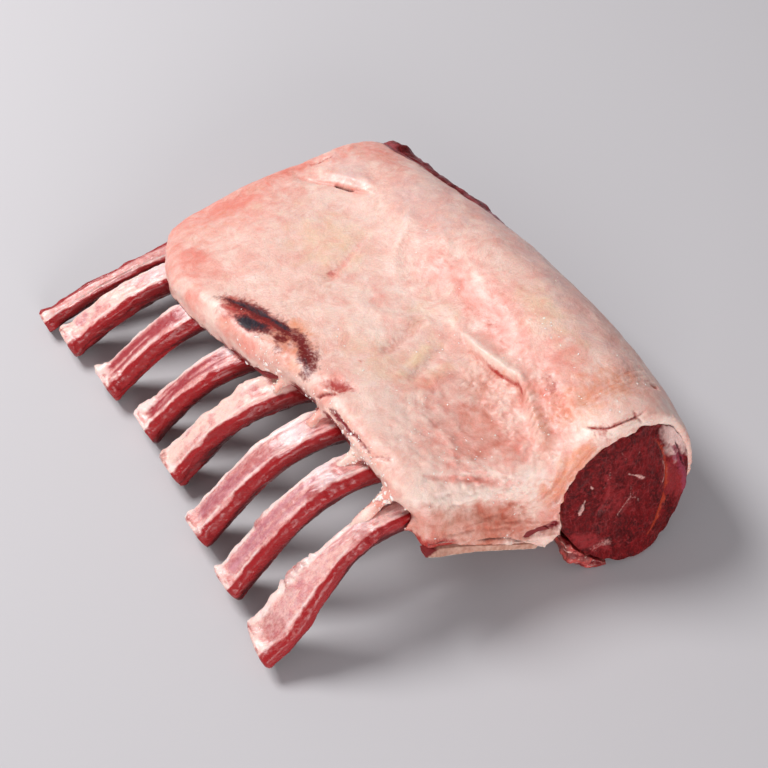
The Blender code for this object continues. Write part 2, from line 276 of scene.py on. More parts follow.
class Surface:
    """A closed triangle mesh that is refined, carved and painted before it becomes a piece.

    Its masks are named values at its points, which the finishes read as attributes.
    """

    def __init__(self, points: Array, faces: Array) -> None:
        """Keep the points, in millimetres, and the triangles."""
        self.points = np.asarray(points, float)
        self.faces = np.asarray(faces, np.int64)
        self.masks: dict[str, Array] = {}

    @classmethod
    def of_mesh(cls, mesh: bpy.types.Mesh) -> "Surface":
        """Read a mesh in metres."""
        mesh.calc_loop_triangles()
        points = np.empty(len(mesh.vertices) * 3)
        mesh.vertices.foreach_get("co", points)
        faces = np.empty(len(mesh.loop_triangles) * 3, np.int32)
        mesh.loop_triangles.foreach_get("vertices", faces)
        return cls(points.reshape(-1, 3) / MM, faces.reshape(-1, 3))

    @classmethod
    def of_node(cls, node: str, levels: int, sharp_deg: float, crease: float) -> "Surface":
        """Round a solid of the frame.

        Args:
            node: The solid's name.
            levels: How many times it is subdivided.
            sharp_deg: Edges that turn more than this keep a crease.
            crease: How crisp such an edge stays, from 0 to 1.

        Returns:
            The smooth surface.
        """
        shape = bmesh.new()
        shape.from_mesh(bpy.data.objects[node].data)
        bmesh.ops.remove_doubles(shape, verts=shape.verts, dist=0.01 * MM)
        diagonals = []
        for edge in shape.edges:
            if len(edge.link_faces) != 2 or edge.calc_face_angle() > np.radians(30):
                continue
            length = edge.calc_length()
            if all(length >= max(e.calc_length() for e in face.edges) - 1e-9 for face in edge.link_faces):
                diagonals.append(edge)
        bmesh.ops.dissolve_edges(shape, edges=diagonals, use_verts=False)
        creases = shape.edges.layers.float.new("crease_edge")
        for edge in shape.edges:
            if len(edge.link_faces) == 2 and edge.calc_face_angle() > np.radians(sharp_deg):
                edge[creases] = crease
        mesh = bpy.data.meshes.new(node + "_rounding")
        shape.to_mesh(mesh)
        shape.free()
        holder = bpy.data.objects.new(node + "_rounding", mesh)
        bpy.context.scene.collection.objects.link(holder)
        rounding = holder.modifiers.new("rounding", "SUBSURF")
        rounding.levels = rounding.render_levels = levels
        smooth = bpy.data.meshes.new_from_object(holder.evaluated_get(bpy.context.evaluated_depsgraph_get()))
        surface = cls.of_mesh(smooth)
        bpy.data.objects.remove(holder)
        return surface

    @classmethod
    def fused(cls, parts: Sequence["Surface"], voxel_mm: float) -> "Surface":
        """Melt overlapping closed surfaces into one skin of even triangles.

        Args:
            parts: The surfaces.
            voxel_mm: The fineness of the skin.

        Returns:
            The largest closed skin of the result.
        """
        starts = np.cumsum([0] + [len(part.points) for part in parts])
        mesh = bpy.data.meshes.new("melting")
        points = np.vstack([part.points for part in parts]) * MM
        faces = np.vstack([part.faces + start for part, start in zip(parts, starts)])
        mesh.from_pydata(points.tolist(), [], faces.tolist())
        holder = bpy.data.objects.new("melting", mesh)
        bpy.context.scene.collection.objects.link(holder)
        melt = holder.modifiers.new("melt", "REMESH")
        melt.mode = "VOXEL"
        melt.voxel_size = voxel_mm * MM
        skin = cls.of_mesh(bpy.data.meshes.new_from_object(holder.evaluated_get(bpy.context.evaluated_depsgraph_get())))
        bpy.data.objects.remove(holder)
        skin.keep_largest()
        return skin

    def keep_largest(self) -> None:
        """Drop every separate shell but the largest."""
        label = np.arange(len(self.points))
        while True:
            lowest = label[self.faces].min(1)
            new = label.copy()
            for corner in range(3):
                np.minimum.at(new, self.faces[:, corner], lowest)
            new = new[new]
            if (new == label).all():
                break
            label = new
        kept = label == np.bincount(label).argmax()
        number = np.cumsum(kept) - 1
        self.faces = number[self.faces[kept[self.faces[:, 0]]]]
        self.points = self.points[kept]

    def refine(self, limit: Callable[[Array, Array], Array]) -> None:
        """Split every edge that is too long until none is left.

        Args:
            limit: Gives the greatest length of an edge from its middle and the normal there.
        """
        for _ in range(8):
            ends = np.sort(self.faces[:, [[0, 1], [1, 2], [2, 0]]].reshape(-1, 2), axis=1)
            edges, index = np.unique(ends, axis=0, return_inverse=True)
            a, b = self.points[edges[:, 0]], self.points[edges[:, 1]]
            normals = self.normals()
            facing = normals[edges[:, 0]] + normals[edges[:, 1]]
            facing /= np.maximum(np.linalg.norm(facing, axis=1), 1e-9)[:, None]
            split = np.linalg.norm(b - a, axis=1) > limit((a + b) / 2, facing)
            if not split.any():
                return
            number = np.full(len(edges), -1)
            number[split] = len(self.points) + np.arange(split.sum())
            self.points = np.vstack([self.points, ((a + b) / 2)[split]])
            self._split_faces(number[index.reshape(-1, 3)])

    def _split_faces(self, middles: Array) -> None:
        """Cut each triangle at the new points in the middles of its edges, -1 where there is none."""
        faces, count = self.faces, (middles >= 0).sum(1)
        new = [faces[count == 0]]
        for turns in range(3):
            f, m = np.roll(faces, -turns, axis=1), np.roll(middles, -turns, axis=1)
            one = (count == 1) & (m[:, 0] >= 0)
            a, b, c, ab = f[one, 0], f[one, 1], f[one, 2], m[one, 0]
            new += [np.stack([a, ab, c], 1), np.stack([ab, b, c], 1)]
            two = (count == 2) & (m[:, 2] < 0)
            a, b, c, ab, bc = f[two, 0], f[two, 1], f[two, 2], m[two, 0], m[two, 1]
            short = np.linalg.norm(self.points[ab] - self.points[c], axis=1)
            short = short < np.linalg.norm(self.points[bc] - self.points[a], axis=1)
            new += [np.stack([ab, b, bc], 1)]
            new += [np.where(short[:, None], np.stack([a, ab, c], 1), np.stack([a, ab, bc], 1))]
            new += [np.where(short[:, None], np.stack([ab, bc, c], 1), np.stack([a, bc, c], 1))]
        three = count == 3
        (a, b, c), (ab, bc, ca) = faces[three].T, middles[three].T
        new += [np.stack(corners, 1) for corners in ((a, ab, ca), (ab, b, bc), (bc, c, ca), (ab, bc, ca))]
        self.faces = np.vstack(new)

    def normals(self) -> Array:
        """The outward direction at each point."""
        corners = self.points[self.faces]
        area = np.cross(corners[:, 1] - corners[:, 0], corners[:, 2] - corners[:, 0])
        total = np.stack(
            [
                np.bincount(self.faces.ravel(), np.repeat(area[:, axis], 3), len(self.points))
                for axis in range(3)
            ],
            axis=1,
        )
        return total / np.maximum(np.linalg.norm(total, axis=1), 1e-12)[:, None]

    def relax(self, rounds: int, share: float = 0.5, where: Array | None = None) -> None:
        """Draw each point towards the middle of its neighbours.

        Args:
            rounds: How many times.
            share: How much of the way.
            where: A weight for each point, or all alike.
        """
        ends = np.sort(self.faces[:, [[0, 1], [1, 2], [2, 0]]].reshape(-1, 2), axis=1)
        a, b = np.unique(ends, axis=0).T
        both, other = np.r_[a, b], np.r_[b, a]
        count = np.bincount(both, minlength=len(self.points))[:, None]
        weight = share if where is None else share * where[:, None]
        for _ in range(rounds):
            total = np.stack(
                [np.bincount(both, self.points[other, axis], len(self.points)) for axis in range(3)],
                axis=1,
            )
            self.points += weight * (total / np.maximum(count, 1) - self.points)

    def paint(self, mask: str, values: Array) -> None:
        """Add to a mask, keeping the stronger value at each point."""
        self.masks[mask] = np.maximum(self.masks.get(mask, 0.0), np.clip(values, 0, 1))

    def work(self, features: Sequence[Feature], noise: Noise, where: Array | float = 1.0) -> None:
        """Carve and paint features.

        Args:
            features: What to carve and paint, in any order.
            noise: Frays the painted edges.
            where: A weight for each point, or all alike.
        """
        normals = self.normals()
        rough = noise(self.points, 3.0, 3)
        uneven = 0.82 + 0.36 * noise(self.points + 300, 7.0, 3)
        height = np.zeros(len(self.points))
        for feature in features:
            u, v, facing = feature.side.value
            raised, painted = feature.values(self.points[:, [u, v]], rough)
            seen = ease(normals[:, facing], 0.0, 0.3) * where
            height += raised * seen
            if feature.mask:
                self.paint(feature.mask, painted * seen * uneven)
        self.points += normals * height[:, None]

    def piece(self, name: str, finish: bpy.types.Material, slot: str, nodes: Sequence[str]) -> bpy.types.Object:
        """Turn the surface into a piece of the model.

        Args:
            name: The piece's name.
            finish: Its material.
            slot: The record's material slot; it is not used.
            nodes: The solids that it stands for.

        Returns:
            The object, smooth-shaded, with its masks as attributes.
        """
        mesh = bpy.data.meshes.new(name)
        mesh.from_pydata((self.points * MM).tolist(), [], self.faces.tolist())
        for mask, values in self.masks.items():
            mesh.attributes.new(mask, "FLOAT", "POINT").data.foreach_set("value", values.astype(np.float32))
        mesh.shade_smooth()
        mesh.materials.append(finish)
        piece = bpy.data.objects.new(name, mesh)
        bpy.context.scene.collection.objects.link(piece)
        return settle(piece, nodes)


def settle(piece: bpy.types.Object, nodes: Sequence[str]) -> bpy.types.Object:
    """Fasten a finished piece to the rack's body.

    Args:
        piece: The piece, with its place in its mesh.
        nodes: The solids that it stands for.

    Returns:
        The piece.
    """
    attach(piece, BODY)
    if nodes:
        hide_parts(*nodes)
    LOG.info("%s: %d faces", piece.name, len(piece.data.polygons))
    return piece


# ---- Finishes -------------------------------------------------------------------------------------------


@dataclass(frozen=True)
class Layer:
    """A colour laid over the last one where a mask says, with an edge broken up by its grain."""

    mask: str
    colour: str
    grain_mm: float = 1.2
    grain: float = 0.6
    cover: float = 1.0


@dataclass(frozen=True)
class Relief:
    """Fine unevenness: the size of its lumps, their height, and how they stretch along X, Y and Z."""

    size_mm: float
    height_mm: float
    stretch: tuple[float, float, float] = (1.0, 1.0, 1.0)


@dataclass(frozen=True)
class Vein:
    """Thin winding threads of another colour: the size of their loops, and their width as a share of it."""

    colour: str
    size_mm: float
    width: float
    strength: float
    stretch: tuple[float, float, float] = (1.0, 1.0, 1.0)


@dataclass(frozen=True)
class MoistFinish:
    """Raw animal tissue: light sinks into it, and a thin film of moisture gives it broken highlights."""

    name: str
    ground: str
    mottle: str
    mottle_mm: float
    layers: tuple[Layer, ...]
    reliefs: tuple[Relief, ...]
    veins: tuple[Vein, ...] = ()
    fleck: str = ""
    fleck_mm: float = 2.0
    swirl_mm: float = 3.0
    flow: tuple[float, float, float] = (1.0, 1.0, 1.0)
    roughness: tuple[float, float] = (0.34, 0.55)
    film: float = 0.15
    shine: float = 0.5
    glow: float = 0.25
    glow_mm: float = 1.6

    def material(self) -> bpy.types.Material:
        """Build the node tree.

        Returns:
            The material, which reads Object coordinates and the piece's masks.
        """
        material = bpy.data.materials.new(self.name)
        material.use_nodes = True
        tree = material.node_tree
        tree.nodes.clear()
        place = self._swirled(tree, add_node(tree, "ShaderNodeTexCoord").outputs["Object"])
        tone = self._noise(tree, place, self.mottle_mm, (1, 1, 1), 4)
        colour = self._mix(tree, self._steepen(tree, tone, 0.36, 0.64), linear(self.ground), linear(self.mottle))
        if self.fleck:
            flecks = self._noise(tree, place, self.fleck_mm, (1, 1, 1), 3)
            colour = self._mix(tree, self._steepen(tree, flecks, 0.48, 0.78), colour, linear(self.fleck))
        for vein in self.veins:
            wave = self._noise(tree, place, vein.size_mm, vein.stretch, 2)
            centred = add_node(tree, "ShaderNodeMath", {0: wave, 1: 0.5}, operation="SUBTRACT").outputs[0]
            gap = add_node(tree, "ShaderNodeMath", {0: centred}, operation="ABSOLUTE").outputs[0]
            share = add_node(
                tree,
                "ShaderNodeMapRange",
                {"Value": gap, "From Min": 0.0, "From Max": vein.width, "To Min": vein.strength, "To Max": 0.0},
            ).outputs[0]
            colour = self._mix(tree, share, colour, linear(vein.colour))
        for layer in self.layers:
            mask = add_node(tree, "ShaderNodeAttribute", attribute_name=layer.mask).outputs["Fac"]
            grain = self._steepen(tree, self._noise(tree, place, layer.grain_mm, self.flow, 3), 0.3, 0.7)
            raised = add_node(tree, "ShaderNodeMath", {0: mask, 1: 1 + layer.grain}, operation="MULTIPLY").outputs[0]
            worn = add_node(
                tree,
                "ShaderNodeMath",
                {0: grain, 1: -layer.grain, 2: raised},
                operation="MULTIPLY_ADD",
                use_clamp=True,
            ).outputs[0]
            share = add_node(tree, "ShaderNodeMath", {0: worn, 1: layer.cover}, operation="MULTIPLY").outputs[0]
            colour = self._mix(tree, share, colour, linear(layer.colour))
        speckle = self._noise(tree, place, 0.5, (1, 1, 1), 2)
        fine = add_node(
            tree,
            "ShaderNodeMapRange",
            {"Value": speckle, "From Min": 0.3, "From Max": 0.7, "To Min": 0.93, "To Max": 1.06},
        ).outputs[0]
        colour = add_node(
            tree, "ShaderNodeMix", {0: 1.0, "A": colour, "B": fine}, data_type="RGBA", blend_type="MULTIPLY"
        )
        bump = None
        for relief in self.reliefs:
            height = self._noise(tree, place, relief.size_mm, relief.stretch, 3)
            inputs = {"Height": height, "Distance": relief.height_mm * MM, "Strength": 1.0}
            if bump:
                inputs["Normal"] = bump
            bump = add_node(tree, "ShaderNodeBump", inputs).outputs["Normal"]
        wetness = self._noise(tree, place, 3.0, (1, 1, 1), 4)
        low, high = self.roughness
        rough = add_node(
            tree,
            "ShaderNodeMapRange",
            {"Value": wetness, "From Min": 0.35, "From Max": 0.65, "To Min": low, "To Max": high},
        ).outputs[0]
        shader = add_node(
            tree,
            "ShaderNodeBsdfPrincipled",
            {
                "Base Color": colour.outputs["Result"],
                "Roughness": rough,
                "Normal": bump,
                "IOR": 1.4,
                "Specular IOR Level": self.shine,
                "Coat Weight": self.film,
                "Coat Roughness": 0.22,
                "Subsurface Weight": self.glow,
                "Subsurface Scale": self.glow_mm * MM,
                "Subsurface Radius": (1.0, 0.35, 0.22),
            },
        )
        add_node(tree, "ShaderNodeOutputMaterial", {"Surface": shader.outputs[0]})
        return material

    def _swirled(self, tree: bpy.types.NodeTree, place):
        """Bend the coordinates, so that patterns on them wind as tissue does."""
        bend = add_node(tree, "ShaderNodeTexNoise", {"Vector": place, "Scale": 1 / (14 * MM), "Detail": 1.0})
        middle = add_node(
            tree, "ShaderNodeVectorMath", {0: bend.outputs["Color"], 1: (0.5, 0.5, 0.5)}, operation="SUBTRACT"
        ).outputs[0]
        shift = add_node(
            tree, "ShaderNodeVectorMath", {0: middle, "Scale": 2 * self.swirl_mm * MM}, operation="SCALE"
        ).outputs[0]
        return add_node(tree, "ShaderNodeVectorMath", {0: place, 1: shift}, operation="ADD").outputs[0]

    @staticmethod
    def _noise(tree: bpy.types.NodeTree, place, size_mm: float, stretch: Sequence[float], detail: float):
        """Noise with lumps of a real size."""
        moved = add_node(tree, "ShaderNodeMapping", {"Vector": place, "Scale": tuple(1 / s for s in stretch)})
        return add_node(
            tree,
            "ShaderNodeTexNoise",
            {"Vector": moved.outputs[0], "Scale": 1 / (size_mm * MM), "Detail": detail},
        ).outputs["Fac"]

    @staticmethod
    def _steepen(tree: bpy.types.NodeTree, value, low: float, high: float):
        """Stretch the middle of a value to the whole of 0 to 1."""
        return add_node(
            tree, "ShaderNodeMapRange", {"Value": value, "From Min": low, "From Max": high}
        ).outputs[0]

    @staticmethod
    def _mix(tree: bpy.types.NodeTree, share, first, second):
        """Blend two colours."""
        return add_node(
            tree, "ShaderNodeMix", {0: share, "A": first, "B": second}, data_type="RGBA"
        ).outputs["Result"]


# Raw lamb fat, skinned: firm and pale, with a thin membrane that keeps some pink of the meat below.
FAT = MoistFinish(
    name="raw_lamb_fat",
    ground="#F0CABC",
    mottle="#E9AFA1",
    mottle_mm=11.0,
    fleck="#F2D2C5",
    fleck_mm=5.0,
    swirl_mm=4.0,
    layers=(
        Layer("yellow", "#EDCBA4", 6.0, 0.5, 0.8),
        Layer("pale", "#F8DDD0", 4.0, 0.5, 0.9),
        Layer("violet", "#CFA5A2", 4.0, 0.5, 0.8),
        Layer("coral", "#E37A6A", 3.4, 0.5, 0.8),
        Layer("brown", "#CC8974", 2.4, 0.5, 0.8),
        Layer("rust", "#C4593F", 1.8, 0.5, 0.85),
        Layer("orange", "#E88F62", 2.0, 0.5, 0.85),
        Layer("red", "#B23A34", 1.4, 0.8),
        Layer("lean", "#86262B", 1.6, 0.8),
        Layer("blood", "#74120F", 1.1, 0.7),
        Layer("clot", "#261C28", 0.9, 0.7),
        # painted shade: near-black laid into the open slit, the notch's hole and a crack on the cut
        Layer("dark", "#3A1010", 0.6, 0.3),
    ),
    veins=(
        Vein("#DC8F84", 9.0, 0.016, 0.30),
        Vein("#E5A497", 2.4, 0.05, 0.16, (1.0, 3.4, 2.0)),
        Vein("#F8E4DB", 2.0, 0.05, 0.14, (1.2, 3.0, 2.0)),
    ),
    reliefs=(Relief(3.6, 0.45), Relief(1.3, 0.20, (1.0, 2.2, 1.5)), Relief(0.45, 0.08)),
    roughness=(0.30, 0.55),
    film=0.16,
)

# Crumbs of fat that the saw left, which partly stand in for wet glints: paler than the cap, and dry.
CRUMB_AND_GLINT = MoistFinish(
    name="fat_crumbs_and_glints",
    ground="#FFF6F1",
    mottle="#F9DDD2",
    mottle_mm=2.0,
    layers=(),
    reliefs=(Relief(0.4, 0.05),),
    roughness=(0.3, 0.5),
)

# Lean meat, cut across its fibres: deep red, and wet enough to glint.
LEAN = MoistFinish(
    name="raw_lean_meat",
    ground="#6C0D11",
    mottle="#44070A",
    mottle_mm=5.0,
    fleck="#86191C",
    fleck_mm=1.2,
    swirl_mm=2.0,
    veins=(Vein("#9A3436", 3.0, 0.03, 0.35, (1.0, 0.7, 3.0)), Vein("#A34A4C", 8.0, 0.008, 0.4)),
    layers=(
        Layer("rose", "#9A2E31", 2.0, 1.0, 0.7),
        Layer("silver", "#BC8790", 2.5, 0.4, 0.8),
        Layer("rust", "#A83A24", 1.2, 1.0, 0.9),
        Layer("skin", "#F0C8C0", 0.9, 0.15, 0.95),
        Layer("torn", "#93384A", 1.0, 0.9),
        Layer("marbling", "#E3AFA6", 0.7, 0.7),
        Layer("dark", "#33080A", 1.2, 0.6, 0.9),
    ),
    reliefs=(Relief(1.6, 0.30), Relief(0.6, 0.15)),
    roughness=(0.30, 0.5),
    film=0.0,
    shine=0.18,
    glow=0.12,
    glow_mm=1.0,
)

# The lean between and over the ribs, with its membrane: brownish pink where it is filmed over.
RIB_LEAN = MoistFinish(
    name="rib_lean_with_membrane",
    ground="#A3544C",
    mottle="#8C3A38",
    mottle_mm=4.0,
    layers=(
        Layer("film", "#C08A80", 2.0, 0.8),
        Layer("lean", "#7E2022", 1.5, 0.8),
        Layer("rose", "#C2504A", 1.2, 0.9, 0.9),
        Layer("pale", "#E6BDB0", 1.5, 0.7),
        Layer("dark", "#3D0E0F", 1.0, 0.4),
    ),
    reliefs=(Relief(2.0, 0.35), Relief(0.7, 0.2)),
    roughness=(0.32, 0.52),
    film=0.12,
)

# Bone scraped almost clean: a wet pink membrane stays on it, with cream edges, the one towards the light partly a
# painted highlight, red remains of meat down the other side, partly painted shade, and painted shade below.
RIB = MoistFinish(
    name="scraped_rib_bone",
    ground="#EBA9A2",
    mottle="#DC8C88",
    mottle_mm=5.0,
    fleck="#F5CBC3",
    fleck_mm=2.4,
    swirl_mm=1.0,
    flow=(0.8, 3.0, 0.9),
    layers=(
        Layer("mauve", "#D08E98", 2.0, 0.5, 0.9),
        Layer("membrane", "#A8323B", 2.0, 0.5, 0.95),
        # pale: scraps of fat, and partly a painted highlight along the edge towards the light, with painted highlight
        # specks down the red side
        Layer("pale", "#FADFD8", 1.8, 0.5),
        Layer("cream", "#F6D0C4", 1.2, 0.6),
        # red: remains of meat, and partly painted shade down the side away from the light
        Layer("red", "#A01C20", 1.3, 0.45),
        # painted shade: dark down the lower side away from the light and under the bone, besides dark streaks on rib
        # 1's flap of meat
        Layer("dark", "#540A0F", 1.4, 0.6),
        Layer("gristle", "#F0DADA", 1.6, 0.6, 0.65),
        Layer("marrow", "#C06A60", 0.8, 0.8),
    ),
    veins=(Vein("#F7D6CF", 1.6, 0.05, 0.35, (0.7, 6.0, 0.8)), Vein("#B8474A", 2.2, 0.035, 0.4, (0.7, 6.0, 0.8))),
    reliefs=(Relief(1.5, 0.35, (0.8, 2.8, 0.9)), Relief(0.5, 0.12)),
    roughness=(0.22, 0.42),
    film=0.22,
)

# Bone sawn through: a beige honeycomb, dry and dull.
SAWN = MoistFinish(
    name="sawn_bone",
    ground="#D3A592",
    mottle="#B98270",
    mottle_mm=2.0,
    layers=(Layer("pale", "#EBCDBD", 1.0, 0.5), Layer("lean", "#7E2426", 1.5, 0.7)),
    reliefs=(Relief(0.8, 0.12),),
    roughness=(0.45, 0.6),
    film=0.03,
)


# ---- The fat cap ---------------------------------------------------------------------------------------

# Where the cap and the arch of bones lie along the rack, as in the solids below them.
ALONG_X = (-107.0, -70.0, -20.0, 35.0, 80.0, 107.0)
EDGE_Y = (-28.7, -45.7, -42.2, -32.7, -31.7, -27.7)
CROWN_Z = (16.5, 30.0, 34.5, 40.5, 41.0, 39.5)
FLANK_Z = (31.0, 43.5, 51.0, 56.5, 58.0, 57.0)


def past_edge(points: Array) -> Array:
    """How far each point lies inside the cap's rib-side edge, along Y."""
    return points[:, 1] - np.interp(points[:, 0], ALONG_X, EDGE_Y)


def tuck(points: Array) -> None:
    """Draw the lean back under the cap along its rib-side edge, more the lower it lies."""
    depth = np.clip(np.interp(points[:, 0], ALONG_X, CROWN_Z) + 6.6 - points[:, 2], 0, 11)
    points[:, 1] += 0.9 * depth * (1 - ease(past_edge(points), 3, 16)) * (1 - ease(points[:, 0], 70, 80))


